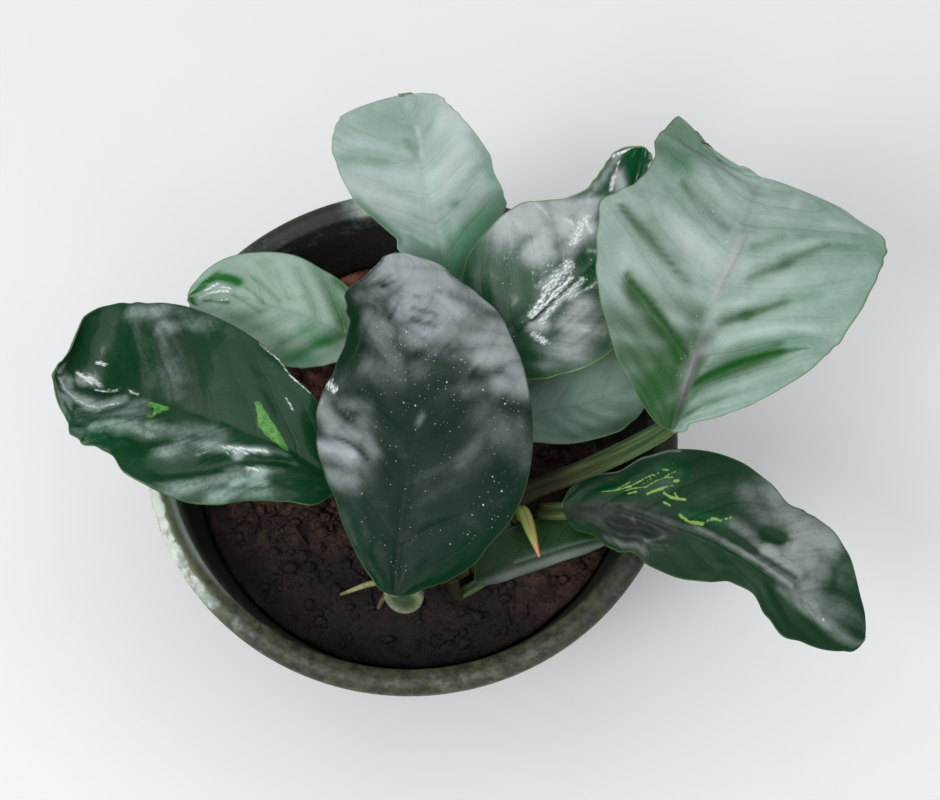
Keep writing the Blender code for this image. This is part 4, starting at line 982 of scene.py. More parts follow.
class BladeMap:
    """Reads a blade's tables at a grid of places along it and across it."""

    def __init__(self, leaf, place, across):
        self.leaf = leaf
        self.place = place
        self.across = across
        self.reach = np.abs(across)
        self.length = float(np.linalg.norm(np.diff(leaf["midrib"], axis=0), axis=1).sum())
        self.half_width = float(np.mean([row[:2] for row in leaf["rows"]]))
        self.foot = self.vein_foot(place, across)

    def vein_foot(self, place, across):
        """Return where along the midrib the side vein through a place starts, 0 to 1."""
        _, sweep_base, sweep_tip = self.leaf["veins"]
        bent = np.abs(across) ** VEIN_BEND
        return (place - sweep_base * bent) / (1 + (sweep_tip - sweep_base) * bent)

    def spots(self, kind, along_veins=True):
        """Add up a table's soft spots, drawn out along the side veins or not."""
        total = np.zeros_like(self.place)
        for at_place, at_across, reach_along, reach_across, amount in self.leaf[kind]:
            gap = self.place - at_place
            if along_veins:
                gap = self.foot - self.vein_foot(at_place, at_across)
            fade = (gap / reach_along) ** 2
            fade += ((self.across - at_across) / reach_across) ** 2
            total += amount * np.exp(-fade)
        return total

    def lines(self, kind):
        """Yield, for a table's lines, their marks, the distance from them and the part."""
        size = np.array([self.length, self.half_width])
        for line in self.leaf[kind]:
            start = np.array(line[:2]) * size
            way = np.array(line[2:4]) * size - start
            x = self.place * size[0] - start[0]
            y = self.across * size[1] - start[1]
            part = np.clip((x * way[0] + y * way[1]) / (way @ way), 0.0, 1.0)
            yield line[4:], np.hypot(x - part * way[0], y - part * way[1]), part

    def outline(self, kind):
        """Return the distance from the nearest outline of a table's lines, below 0 inside."""
        nearest = np.full_like(self.place, FAR)
        for widths, distance, part in self.lines(kind):
            half_width = widths[0] + (widths[-1] - widths[0]) * part
            nearest = np.minimum(nearest, distance - half_width)
        return nearest

    def folds(self):
        """Return the height of the ridges and furrows."""
        total = np.zeros_like(self.place)
        for (width, height), distance, _ in self.lines("folds"):
            total += height * hump(distance, width)
        return total

    def glint(self):
        """Return the brightness of the painted highlight lines."""
        brightest = np.zeros_like(self.place)
        for (width, brightness), distance, _ in self.lines("glints"):
            brightest = np.maximum(brightest, brightness * hump(distance, width))
        return brightest

    def sheen(self):
        """Return the tone and the tint of the soft lines of painted sheen and shade."""
        sums = np.zeros((2, 2, *self.place.shape))
        for (width, tone, *rest), distance, part in self.lines("sheens"):
            tint, end_width = (*rest, *(0.0, width)[len(rest):])
            share = hump(distance, width + (end_width - width) * part)
            for index, amount in enumerate((tone, tint)):
                sums[index, 0] = np.maximum(sums[index, 0], amount * share)
                sums[index, 1] = np.minimum(sums[index, 1], amount * share)
        return sums.sum(axis=1)


def margin_trim(pairs, place):
    """Read (place, millimetres) pairs along a margin, eased between neighbours."""
    total = np.zeros_like(place)
    for (start, low), (end, high) in zip(pairs[:-1], pairs[1:]):
        part = share_of(place, start, end)
        eased = low + (high - low) * part * part * (3 - 2 * part)
        total = np.where((place >= start) & (place <= end), eased, total)
    return total


def midrib_frame(midrib, place):
    """Return points of the midrib and its directions along, to the side and up."""
    step = 0.001
    along = unit(smooth_rows(midrib, place + step) - smooth_rows(midrib, place - step))
    side = unit(np.cross(along, (0.0, 0.0, 1.0)))
    return smooth_rows(midrib, place), along, side, np.cross(side, along)


def blade_surface(leaf, place, across):
    """Return a blade's upper surface in millimetres and its named point values."""
    blade = BladeMap(leaf, place, across)
    reach = blade.reach
    right = across > 0
    ends = np.sqrt(np.clip(4 * place * (1 - place), 0.0, 1.0))
    full = np.minimum(1, FULL_FROM_END * ends)
    row = smooth_rows(leaf["rows"], place)
    width, tilt, curl, sweep = (np.where(right, row[..., column + 1], row[..., column])
                                for column in (0, 2, 4, 6))
    trim = np.where(right, margin_trim(leaf["right_margin"], place),
                    margin_trim(leaf["left_margin"], place))
    width = np.maximum(width * ends + trim * full, 0.0)
    tilt = np.radians(tilt)
    curl = np.radians(curl)
    curl = np.where(np.abs(curl) < 0.001, 0.001, curl)
    angle = tilt + curl * reach
    out = (np.sin(angle) - np.sin(tilt)) / curl * width
    rise = (np.cos(tilt) - np.cos(angle)) / curl * width
    sweep = sweep * reach ** 1.5 * ends

    rib = reach * np.maximum(width, 0.01)
    folds = blade.folds()
    phase = leaf["veins"][0] * blade.foot
    quilt = np.cos(2 * math.pi * phase) * np.sin(math.pi * np.clip(reach, 0, 1)) ** 0.7
    height, cycles, shift = leaf["wave"]
    turns = cycles * place + shift + WAVE_OFFSET * right
    relief = folds + height * reach ** 3 * np.sin(2 * math.pi * turns)
    relief -= QUILT_RELIEF * min(1.0, leaf["quilt"] / QUILT_FULL) * quilt
    relief -= RIB_CHANNEL * hump(rib, RIB_CHANNEL_REACH) * (1 - 0.7 * place)
    flat = at_height(place * blade.length, across * blade.half_width)
    for amount, spacing, seed in UNEVENNESS:
        relief += amount * noise_at(flat, spacing, seed)
    rise = rise + (blade.spots("bumps", along_veins=False) + relief) * full
    out = np.where(right, out, -out)
    centre, along, side, up = midrib_frame(leaf["midrib"], place)
    points = centre + side * out[..., None] + up * rise[..., None] + along * sweep[..., None]
    for at_place, pull_reach, move in leaf["pulls"]:
        share = hump(place - at_place, pull_reach) * np.clip(-across, 0, 1) ** 1.3
        points = points + (share * np.minimum(1, 6 * ends))[..., None] * np.array(move)

    # Painted sheen and shade: the tone follows the tones and sheens, is paler on ridges and darker
    # in furrows, and the quilt paints shade along the side veins, most near the midrib
    sheen_tone, sheen_tint = blade.sheen()
    tone = leaf["tone"] + blade.spots("tones") + TONE_OF_FOLDS * folds + sheen_tone
    near_rib = 1 + 1.5 * np.exp(-rib / HERRINGBONE_REACH)
    tone -= leaf["quilt"] * quilt * (0.35 + np.clip(tone, 0, 1)) * near_rib * (1 - place ** 3)
    return points, {
        "along": place,
        "across": across,
        "rib": rib,
        "edge": np.maximum((1 - reach) * width, 0.0),
        "phase": phase,
        "tone": np.clip(tone, 0.0, 1.0),
        "tint": np.clip(blade.spots("tints") + sheen_tint, -1.0, 1.0),
        "dust": np.clip(blade.spots("dust"), 0.0, 1.0),
        "glint": blade.glint(),
        "streak": blade.outline("streaks"),
        "patch": blade.outline("patches"),
    }


def blade_swing(top, seed, vein, net):
    """Return how far noise, the veins and the midrib swing a blade's tone, its painted sheen."""
    swing = 0.0
    for along, across, amount in BRUSHES:
        where = top.vector(top.times(top.value("phase"), along),
                           top.times(top.value("across"), across), seed)
        swing = top.sum(top.swing(amount, top.noise(1.0, 3.0, 0.6, where), 0.25, 0.75), swing)
    for spacing, amount in CLOUDS:
        swing = top.sum(swing, top.swing(amount, top.noise(spacing, 4.0, 0.6)))
    swing = top.less(swing, vein, 0.16)
    swing = top.less(swing, net, 0.08)
    return top.less(swing, top.band(top.value("rib"), 0.15, 0.80, 0.22, 0.0))


def blade_glint(top, seed):
    """Return the painted highlights on the glint lines, broken up by ripples along the midrib."""
    ripple = top.sum(top.times(top.value("rib"), 2.6), top.times(top.value("across"), 3.0))
    where = top.vector(ripple, top.times(top.value("along"), 48.0), seed)
    painted_lighting = top.band(top.noise(1.0, 5.0, 0.75, where), 0.28, 0.72, -0.60, 0.50)
    return top.band(top.sum(top.value("glint"), painted_lighting), 0.40, 0.95)


def blade_specks(top):
    """Return 1 on fine specks of dust and 0 between them."""
    specks = 0.0
    for spacing, size, share in SPECKS:
        dot = top.band(top.cells(spacing), 0.6 * size, size, 1.0, 0.0)
        chosen = top.times(top.chances(spacing)[0], top.value("dust"))
        dot = top.times(dot, top.band(chosen, share, share + 0.12))
        specks = top.math("MAXIMUM", dot, specks)
    return specks


def blade_upper(key, leaf):
    """Return the upper face's material: waxy green with painted sheen and shade, painted
    highlights, veins, spots and patches.
    """
    top = Shade(f"blade_{key}_upper", **leaf["finish"])
    seed = 10.0 * list(LEAVES).index(key)
    wobble = top.swing(0.06, top.noise(5.0, 2.0), 0.2, 0.8)
    vein = top.times(top.whole(top.sum(top.value("phase"), wobble), 0.42, 0.50),
                     top.band(top.value("edge"), 0.8, 5.0))
    net = top.net(1.3)
    # Painted sheen: the tone, swung by noise, mixes the deep colour towards the pale grey-green
    tone = top.value("tone")
    room = top.sum(top.times(tone, leaf["grain"]), 0.30 * leaf["grain"])
    tone = top.sum(tone, top.times(blade_swing(top, seed, vein, net), room))
    tint = top.node("ShaderNodeHueSaturation")
    top.put(tint.inputs["Saturation"], top.band(top.value("tint"), -1.0, 1.0, 0.25, 1.75))
    top.put(tint.inputs["Color"], top.mix(leaf["deep"], leaf["pale"], top.band(tone, 0.0, 1.0)))
    top.lay(tint.outputs[0])

    ragged = top.sum(top.value("patch"), top.swing(0.22, top.noise(0.9, 4.0)))
    top.lay(top.mix(*PATCH_COLOURS, top.band(top.noise(0.9, 4.0), 0.3, 0.7)),
            top.band(ragged, -0.10, 0.12, 1.0, 0.0))
    broken = top.band(top.noise(1.6, 4.0), 0.35, 0.65, -0.03, 0.10)
    top.lay(STREAK_COLOUR,
            top.band(top.sum(top.value("streak"), broken), -0.04, 0.12, 0.90, 0.0))
    top.lay(leaf["margin"], top.band(top.value("edge"), 0.10, MARGIN_WIDTH, 0.65, 0.0))
    # Painted highlights: soft grey under the glint lines, then bright broken white on them
    top.lay(SOFT_GLINT, top.band(top.value("glint"), 0.20, 1.0, 0.0, 0.50))
    glint = blade_glint(top, seed)
    top.lay(BRIGHT_GLINT, top.times(glint, 0.92))
    specks = blade_specks(top)
    top.lay(SPECK_COLOUR, top.times(specks, 0.80))

    dull = top.band(top.noise(2.5, 3.0), 0.3, 0.7, -0.05, 0.07)
    roughness = top.less(top.sum(dull, leaf["finish"]["roughness"]), glint, 0.20)
    height = top.times(top.noise(0.35, 3.0, 0.6), 0.35)
    height = top.less(top.less(height, vein, 0.9), net, 0.25)
    return top.finish(roughness, top.bump(top.sum(height, top.times(specks, 0.8)), 0.05))


def blade_lower(key, leaf):
    """Return the underside's material: paler and duller, with raised veins."""
    low = Shade(f"blade_{key}_under", roughness=0.55, specular=0.4)
    pale = tuple(0.45 * (a + b) + 0.02 for a, b in zip(leaf["deep"], leaf["pale"]))
    low.lay(low.mix(pale, UNDERSIDE_GREEN, low.band(low.noise(5.0, 4.0), 0.35, 0.65, 0.55, 0.95)))
    vein = low.times(low.whole(low.value("phase"), 0.44, 0.495), 0.7)
    raised = low.math("MAXIMUM", vein, low.band(low.value("rib"), 0.3, 1.3, 1.0, 0.0))
    low.lay(UNDERSIDE_VEIN, low.times(raised, 0.7))
    low.lay(UNDERSIDE_NET, low.times(low.net(1.4), 0.25))
    height = low.sum(raised, low.times(low.noise(0.5), 0.3))
    return low.finish(None, low.bump(height, 0.10))


def blade_rim(key, leaf):
    """Return the thin margin's material."""
    edge = Shade(f"blade_{key}_margin", roughness=0.45, specular=0.5)
    bright = tuple(min(1.0, 1.5 * value) for value in leaf["margin"])
    edge.lay(edge.mix(leaf["margin"], bright, edge.noise(1.2)))
    return edge.finish()


def make_blade(key, leaf):
    """Build a blade as a fine surface with a keel, side veins and a thin margin."""
    length_steps, width_steps = (round(steps * leaf["fine"])
                                 for steps in (BLADE_LENGTH_STEPS, BLADE_WIDTH_STEPS))
    places = 0.5 - 0.5 * np.cos(np.linspace(0, math.pi, length_steps + 1))
    place, across = np.meshgrid(places, np.linspace(-1, 1, width_steps + 1), indexing="ij")
    points, values = blade_surface(leaf, place, across)
    materials = [blade_upper(key, leaf), blade_lower(key, leaf), blade_rim(key, leaf)]
    item = welded(mesh_object(f"blade_{key}", points, grid_faces(*place.shape), materials,
                              values))
    if item.data.polygons[len(item.data.polygons) // 2].normal.z < 0:
        item.data.flip_normals()
    edge = point_values(item, "edge")
    keel = hump(point_values(item, "rib"), 1.0) * (1 - 0.75 * point_values(item, "along"))
    weight = BLADE_THIN * (0.55 + 0.45 * np.clip(edge / 1.5, 0, 1))
    weight += (1 - BLADE_THIN) * keel * np.clip(edge, 0, 1)
    group = item.vertex_groups.new(name="thickness")
    for index, amount in enumerate(weight):
        group.add([index], float(amount), "REPLACE")
    thick = item.modifiers.new("thickness", "SOLIDIFY")
    thick.thickness = BLADE_KEEL * MM
    thick.offset = -1.0
    thick.vertex_group = group.name
    thick.material_offset = 1
    thick.material_offset_rim = 2
    return item


def sweep_tube(name, path, radii, samples, sides, shape, material, first_up=(0, 0, 1),
               marks=None):
    """Sweep a section along a smooth path; shape(angle, along) scales the radius.

    Each of the marks is a function of the same two that gives a named point value.
    """
    places = np.linspace(0, 1, samples)
    centres = smooth_rows(path, places)
    sizes = smooth_rows([(radius,) for radius in radii], places)[:, 0]
    ways = unit(np.gradient(centres, axis=0))
    lengths = np.concatenate([[0], np.cumsum(np.linalg.norm(np.diff(centres, axis=0), axis=1))])
    up = np.asarray(first_up, float)
    ups = []
    for way in ways[::-1]:
        up = unit(up - way * (up @ way))
        ups.append(up)
    ups = np.array(ups[::-1])
    outs = np.cross(ways, ups)
    angles = np.linspace(0, 2 * math.pi, sides, endpoint=False)
    scale = shape(angles[None, :], places[:, None]) * sizes[:, None]
    points = (centres[:, None] + ups[:, None] * (np.cos(angles)[None, :] * scale)[..., None]
              + outs[:, None] * (np.sin(angles)[None, :] * scale)[..., None]).reshape(-1, 3)
    faces = grid_faces(samples, sides, closed=True)
    first, last = len(points), len(points) + 1
    base = (samples - 1) * sides
    for index in range(sides):
        ahead = (index + 1) % sides
        faces += [(first, ahead, index), (last, base + index, base + ahead)]
    points = np.vstack([points, centres[0], centres[-1]])
    values = {
        "along": [*np.repeat(lengths, sides), 0, lengths[-1]],
        "part": [*np.repeat(places, sides), 0, 1],
        "facing": [*np.tile(np.cos(angles), samples), 0, 0],
        "around": [*np.tile(np.sin(angles), samples), 0, 0],
    }
    for key, mark in (marks or {}).items():
        values[key] = [*mark(angles[None, :], places[:, None]).ravel(), 0, 0]
    return welded(mesh_object(name, points, faces, [material], values))


def stalk_material():
    """Waxy green stalk with lengthwise streaks, paler and yellower along its lower side."""
    shade = Shade("stalk", roughness=0.42, specular=0.3)
    facing = shade.value("facing")
    around = shade.value("around")
    where = shade.vector(shade.times(facing, 3.0), shade.times(around, 3.0),
                         shade.times(shade.value("along"), 0.10))
    streak = shade.noise(0.8, 3.0, 0.6, where)
    shade.lay(shade.mix(*STALK_GREENS, shade.band(streak, 0.30, 0.70)))
    shade.lay(STALK_BELOW, shade.band(around, 0.55, 0.98, 0.0, 0.75))
    shade.lay(STALK_GROOVE, shade.band(facing, 0.88, 0.99, 0.0, 0.55))
    shade.lay(shade.mix(*STALK_FOOT, streak),
              shade.band(shade.value("part"), 0.20, 0.78, 0.95, 0.0))
    shade.lay(CUP_INSIDE, shade.value("hollow"))
    lip_colour = shade.mix(*CUP_LIP_COLOURS, shade.band(shade.noise(0.5, 4.0), 0.35, 0.60))
    shade.lay(lip_colour, shade.value("lip"))
    height = shade.sum(streak, shade.times(shade.noise(0.5), 0.4))
    return shade.finish(None, shade.bump(height, 0.12))


def grooved(angle, _):
    """Section of a stalk: a shallow groove on its upper side between two low wings."""
    turn = np.abs((angle + math.pi) % (2 * math.pi) - math.pi)
    return 1 - 0.30 * hump(turn, 0.42) + 0.16 * hump(turn - 0.85, 0.30)


def cup_reach(angle, place):
    """Return how far a place on the stalk is from the cup's middle; 1 is its lip."""
    turn = (angle - CUP_TURN + math.pi) % (2 * math.pi) - math.pi
    below = np.maximum(CUP_PLACE - place, 0.0)
    return np.hypot(turn / CUP_SPREAD, below / CUP_REACH)


def cup_hollow(angle, place):
    """Return 1 inside the cup and 0 outside it."""
    return share_of(cup_reach(angle, place), 0.92, 0.70)


def cup_lip(angle, place):
    """Return 1 on the cup's lip, thicker at its lower left, and 0 away from it."""
    thick = 0.20 + 0.10 * np.clip(-np.sin(angle), 0, 1)
    return np.exp(-((cup_reach(angle, place) - 1.08) / thick) ** 4)


def cupped(angle, place):
    """Section of a stalk that opens into a lipped cup at its bend under the blade."""
    return 1 - CUP_DEPTH * cup_hollow(angle, place) + CUP_LIP * cup_lip(angle, place)


def make_stalk(key, leaf, material):
    """Build a blade's stalk from the rhizome to the keel under the blade."""
    start, along, _, up = midrib_frame(leaf["midrib"], np.array(0.0))
    joint = (start + along * STALK_FORWARD
             - up * (STALK_SINK * leaf["stalk_radii"][-1] + STALK_COVER))
    neck = leaf["neck"] or start - along * LEAF_TO_NECK - up * NECK_UNDER_LEAF
    tail = smooth_rows(leaf["midrib"], np.array(STALK_TAIL_PLACE)) - up * STALK_TAIL_DROP
    path = [*leaf["stalk"], neck, joint, tail]
    radii = [*leaf["stalk_radii"], STALK_TAIL_RADIUS]
    marks = {"hollow": cup_hollow, "lip": cup_lip} if leaf["cupped"] else None
    return sweep_tube(f"stalk_{key}", path, radii, STALK_SAMPLES, STALK_SIDES,
                      cupped if leaf["cupped"] else grooved, material, up, marks)


def distance_to_rhizome(x, y):
    """Return the plan distance from places to the rhizome's line."""
    line = smooth_rows(RHIZOME_PATH, np.linspace(0, 1, 21))
    gaps = np.hypot(np.asarray(x)[..., None] - line[:, 0], np.asarray(y)[..., None] - line[:, 1])
    return gaps.min(-1)


def soil_height(x, y):
    """Return the growing medium's smooth height at places."""
    x = np.asarray(x, float)
    y = np.asarray(y, float)
    lump = noise_at(at_height(x, y), SOIL_LUMP_SPACING, 0.0)
    lump = lump + 0.5 * noise_at(at_height(x, y, 9.0), SOIL_LUMP_SPACING / 2, 0.0)
    mound = SOIL_MOUND * hump(distance_to_rhizome(x, y), SOIL_MOUND_REACH)
    dip_distance = np.hypot(x - SOIL_DIP_PLACE[0], y - SOIL_DIP_PLACE[1])
    return SOIL_TOP + 2 * SOIL_LUMP * lump + mound - SOIL_DIP * hump(dip_distance, SOIL_DIP_REACH)


def clod_height(x, y):
    """Return the height of rounded clods over the smooth surface."""
    heights = []
    for px, py in zip(np.ravel(x), np.ravel(y)):
        bend = Vector((noise.noise(Vector((px, py, 5.0)) / 1.7),
                       noise.noise(Vector((px, py, 11.0)) / 1.7), 0.0))
        spot = Vector((px, py, 0.0)) / CLOD_SPACING + 0.35 * bend
        distances, _ = noise.voronoi(spot)
        coarse = distances[1] - distances[0]
        small, _ = noise.voronoi(spot * 2.4 + Vector((3.1, 7.7, 0.0)))
        fine = small[1] - small[0]
        grain = noise.noise(Vector((px, py, 2.0)) / 0.6)
        heights.append(CLOD_HEIGHT * min(coarse, 0.7) + 0.40 * min(fine, 0.6) + 0.13 * grain)
    return np.array(heights).reshape(np.shape(x)) - CLOD_SINK


def inner_wall_radius(height):
    """Return the radius of the pot's inner wall at a height."""
    foot = BASE_THICKNESS + 1.0
    part = (height - foot) / (POT_HEIGHT - 1.6 - foot)
    return BASE_RADIUS - WALL_THICKNESS + (RIM_INNER_RADIUS - BASE_RADIUS + WALL_THICKNESS) * part


def disc_points(count):
    """Return a square grid of points mapped smoothly onto a unit disc."""
    line = np.linspace(-1, 1, count)
    a, b = np.meshgrid(line, line, indexing="ij")
    wide = np.abs(a) > np.abs(b)
    radius = np.where(wide, a, b)
    with np.errstate(divide="ignore", invalid="ignore"):
        turn = np.where(wide, math.pi / 4 * b / a, math.pi / 2 - math.pi / 4 * a / b)
    turn = np.nan_to_num(turn)
    return radius * np.cos(turn), radius * np.sin(turn)


def soil_material():
    """Dark medium: clods of differing browns, wet glints, pale grains and painted shadow."""
    shade = Shade("medium", roughness=0.6, specular=0.4)
    brown, grained = shade.chances(2.2)[:2]
    shade.lay(shade.mix(*MEDIUM_BROWNS, shade.band(brown, 0.1, 1.0)))
    shade.lay(MEDIUM_RED, shade.band(shade.noise(9.0, 4.0), 0.46, 0.72, 0.0, 0.7))
    shade.lay(MEDIUM_GREY, shade.band(shade.noise(2.2, 3.0), 0.52, 0.70, 0.0, 0.35))
    shade.lay(MEDIUM_DARK, shade.band(shade.noise(0.9, 5.0, 0.7), 0.35, 0.60, 0.75, 0.0))
    shade.lay(PALE_GRAIN, shade.times(shade.band(shade.cells(1.3), 0.12, 0.20, 1.0, 0.0),
                                      shade.band(grained, 0.78, 0.84)))
    # Painted shadow over the front and under the leaves
    shade.lay(MEDIUM_PAINTED_SHADOW, shade.times(shade.value("painted_lighting"), 0.85))
    shade.lay(WARM_MEDIUM, shade.times(shade.value("warm"),
                                       shade.band(shade.noise(2.6, 4.0), 0.3, 0.7)))
    roughness = shade.band(shade.noise(1.6, 4.0, 0.65), 0.38, 0.62, 0.32, 0.85)
    height = shade.sum(shade.noise(0.55, 5.0, 0.7), shade.times(shade.noise(1.8, 3.0), 0.8))
    return shade.finish(roughness, shade.bump(height, 0.55))


def painted_shadow_share(x, y):
    """Return the share of painted shadow on the growing medium at places, 0 to 1, with a lit gap
    at the front right.
    """
    front = np.clip((-y - 16 - 0.25 * np.asarray(x)) / 12, 0, 1)
    lit_gap = np.exp(-((x - 33) / 9) ** 2 - ((y + 22) / 9) ** 2)
    under = 0.45 * np.exp(-((x - 10) / 25) ** 2 - ((y + 5) / 22) ** 2)
    return np.clip(front * (1 - 0.8 * lit_gap) + under, 0, 1)


def warm_share(x, y):
    """Return the share of the bright reddish patches on the growing medium at places, 0 to 1."""
    return np.max([hump(np.hypot(x - px, y - py), reach) for px, py, reach in WARM_SPOTS], axis=0)


def medium_values(points):
    """Return the point values that the growing medium's material reads."""
    x, y = points[:, 0], points[:, 1]
    return {"painted_lighting": painted_shadow_share(x, y), "warm": warm_share(x, y)}


def make_soil(material):
    """Build the growing medium: a cloddy top, a side against the wall and a flat foot."""
    radius = inner_wall_radius(SOIL_TOP - 1.5) - SOIL_WALL_GAP
    x, y = (radius * axis for axis in disc_points(SOIL_GRID))
    fade = share_of(radius - np.hypot(x, y), 0.0, SOIL_EDGE_FADE)
    clods = clod_height(x, y) * (1 - FLATTENING_IN_PAINTED_SHADOW * painted_shadow_share(x, y))
    z = soil_height(x, y) + clods * (0.25 + 0.75 * fade) - SOIL_EDGE_DROP * (1 - fade) ** 2
    flat = np.stack([x, y, z], -1).reshape(-1, 3)
    faces = grid_faces(SOIL_GRID, SOIL_GRID)
    index = np.arange(SOIL_GRID ** 2).reshape(SOIL_GRID, SOIL_GRID)
    ring = np.concatenate([index[0, :-1], index[:-1, -1], index[-1, :0:-1], index[:0:-1, 0]])
    count = len(ring)
    way = unit(flat[ring][:, :2])
    layers = [flat]
    before = ring
    total = len(flat)
    side_top = SOIL_TOP - SOIL_SIDE_DROP
    foot_radius = inner_wall_radius(BASE_THICKNESS + 1.3) - SOIL_WALL_GAP
    for height, size in ((side_top, inner_wall_radius(side_top) - SOIL_WALL_GAP),
                         (BASE_THICKNESS + 1.3, foot_radius),
                         (BASE_THICKNESS + 0.3, foot_radius - 2.0)):
        layers.append(np.column_stack([way * size, np.full(count, height)]))
        now = np.arange(total, total + count)
        faces += np.stack([before, np.roll(before, -1), np.roll(now, -1), now], 1).tolist()
        before = now
        total += count
    layers.append([[0.0, 0.0, BASE_THICKNESS + 0.3]])
    faces += np.stack([before, np.roll(before, -1), np.full(count, total)], 1).tolist()
    points = np.vstack(layers)
    return welded(mesh_object("growing_medium", points, faces, [material],
                              medium_values(points)))


def crumb(chance, ball, limit):
    """Return the points of a small broken lump on the medium, or None where it doesn't fit."""
    x = chance.uniform(-limit, limit)
    y = chance.uniform(-limit, limit)
    size = 0.35 + 1.0 * chance.random() ** 3
    if math.hypot(x, y) > limit - size:
        return None
    stretch = np.array([chance.uniform(0.7, 1.3) for _ in range(3)]) * size
    rough = noise_at(ball, 0.7, 10.0 * chance.random())
    return (ball * (1 + 0.45 * rough[:, None]) * stretch
            + (x, y, float(soil_height(x, y)) + 0.35 * size))


def fibre(chance, limit):
    """Return the points of a short bent fibre that lies on the medium, ring by ring."""
    turn = chance.uniform(0, 2 * math.pi)
    far = limit * math.sqrt(chance.random()) * 0.93
    x = far * math.cos(turn)
    y = far * math.sin(turn)
    heading = chance.uniform(0, 2 * math.pi)
    reach = chance.uniform(1.2, 3.2)
    bend = chance.uniform(-0.6, 0.6)
    thick = chance.uniform(0.10, 0.28)
    points = []
    for step in range(FIBRE_RINGS):
        part = step / (FIBRE_RINGS - 1) - 0.5
        px = x + 2 * reach * part * math.cos(heading + bend * part)
        py = y + 2 * reach * part * math.sin(heading + bend * part)
        inward = min(1.0, limit / math.hypot(px, py))
        px *= inward
        py *= inward
        pz = float(soil_height(px, py)) + 0.45 + thick
        for corner in range(FIBRE_SIDES):
            angle = 2 * math.pi * corner / FIBRE_SIDES
            points.append((px - thick * math.sin(heading) * math.cos(angle),
                           py + thick * math.cos(heading) * math.cos(angle),
                           pz + thick * math.sin(angle)))
    return np.array(points)


def make_crumbs(material):
    """Scatter small broken lumps and short fibres over the growing medium as one piece."""
    chance = random.Random(CRUMB_SEED)
    shape = bmesh.new()
    bmesh.ops.create_icosphere(shape, subdivisions=2, radius=1.0)
    ball = np.array([vert.co for vert in shape.verts])
    ball_faces = [[vert.index for vert in face.verts] for face in shape.faces]
    shape.free()
    last = (FIBRE_RINGS - 1) * FIBRE_SIDES
    fibre_faces = [*grid_faces(FIBRE_RINGS, FIBRE_SIDES, closed=True),
                   range(FIBRE_SIDES - 1, -1, -1), range(last, last + FIBRE_SIDES)]
    limit = inner_wall_radius(SOIL_TOP) - 2.0
    bits = []
    while len(bits) < CRUMB_COUNT:
        lump = crumb(chance, ball, limit)
        if lump is not None:
            bits.append((lump, ball_faces))
    bits += [(fibre(chance, limit), fibre_faces) for _ in range(FIBRE_COUNT)]
    faces = []
    total = 0
    for points, own_faces in bits:
        faces += [[total + corner for corner in face] for face in own_faces]
        total += len(points)
    points = np.vstack([points for points, _ in bits])
    return mesh_object("medium_crumbs", points, faces, [material], medium_values(points))


def arc(centre_radius, centre_height, radius, start, end, steps):
    """Return points on an arc, its angles in degrees from the outward direction."""
    angles = [math.radians(start + (end - start) * index / steps) for index in range(steps + 1)]
    return [(centre_radius + radius * math.cos(angle), centre_height + radius * math.sin(angle))
            for angle in angles]


def pot_profile():
    """Return the pot's section as (radius, height, inside) from the rim's inner edge."""
    top = POT_HEIGHT
    skirt = top - RIM_DEPTH
    neck_radius = NECK_RADIUS - NECK_INSET
    neck = skirt - NECK_DROP
    outer = [(RIM_INNER_RADIUS, top - RIM_INNER_DEPTH), (RIM_INNER_RADIUS + 0.1, top - 2.1),
             *arc(RIM_INNER_RADIUS + 1.1, top - 1.6, 0.9, 175, 120, 4),
             *arc(RIM_RADIUS - 2.2, top - 2.2, 2.2, 100, 0, 12),
             (RIM_RADIUS - 0.2, top - 4.0), (RIM_RADIUS - 0.7, top - 6.0),
             *arc(RIM_RADIUS - 1.7, skirt + 0.6, 0.6, 0, -90, 4),
             (RIM_RADIUS - 2.6, skirt), (NECK_RADIUS - 0.6, skirt + 0.4),
             (NECK_RADIUS - 0.9, skirt), (neck_radius, neck)]
    for step in range(1, WALL_STEPS):
        part = step / WALL_STEPS
        outer.append((neck_radius + (BASE_RADIUS - neck_radius) * part,
                      neck + (1.6 - neck) * part))
    outer += arc(BASE_RADIUS - 1.2, 1.2, 1.2, 0, -90, 5)
    outer += [(BASE_RADIUS * part, 0.0) for part in (0.85, 0.7, 0.45, 0.25, 0.0)]
    floor_radius = BASE_RADIUS - WALL_THICKNESS
    foot = BASE_THICKNESS + 1.0
    inner = [(floor_radius * part, BASE_THICKNESS) for part in (0.0, 0.3, 0.6, 0.85)]
    inner += [(floor_radius - 1.0, BASE_THICKNESS), (floor_radius, foot)]
    for step in range(1, INNER_WALL_STEPS):
        height = foot + (top - RIM_INNER_DEPTH - foot) * step / INNER_WALL_STEPS
        inner.append((inner_wall_radius(height), height))
    return [(*point, 0.0) for point in outer] + [(*point, 1.0) for point in inner]


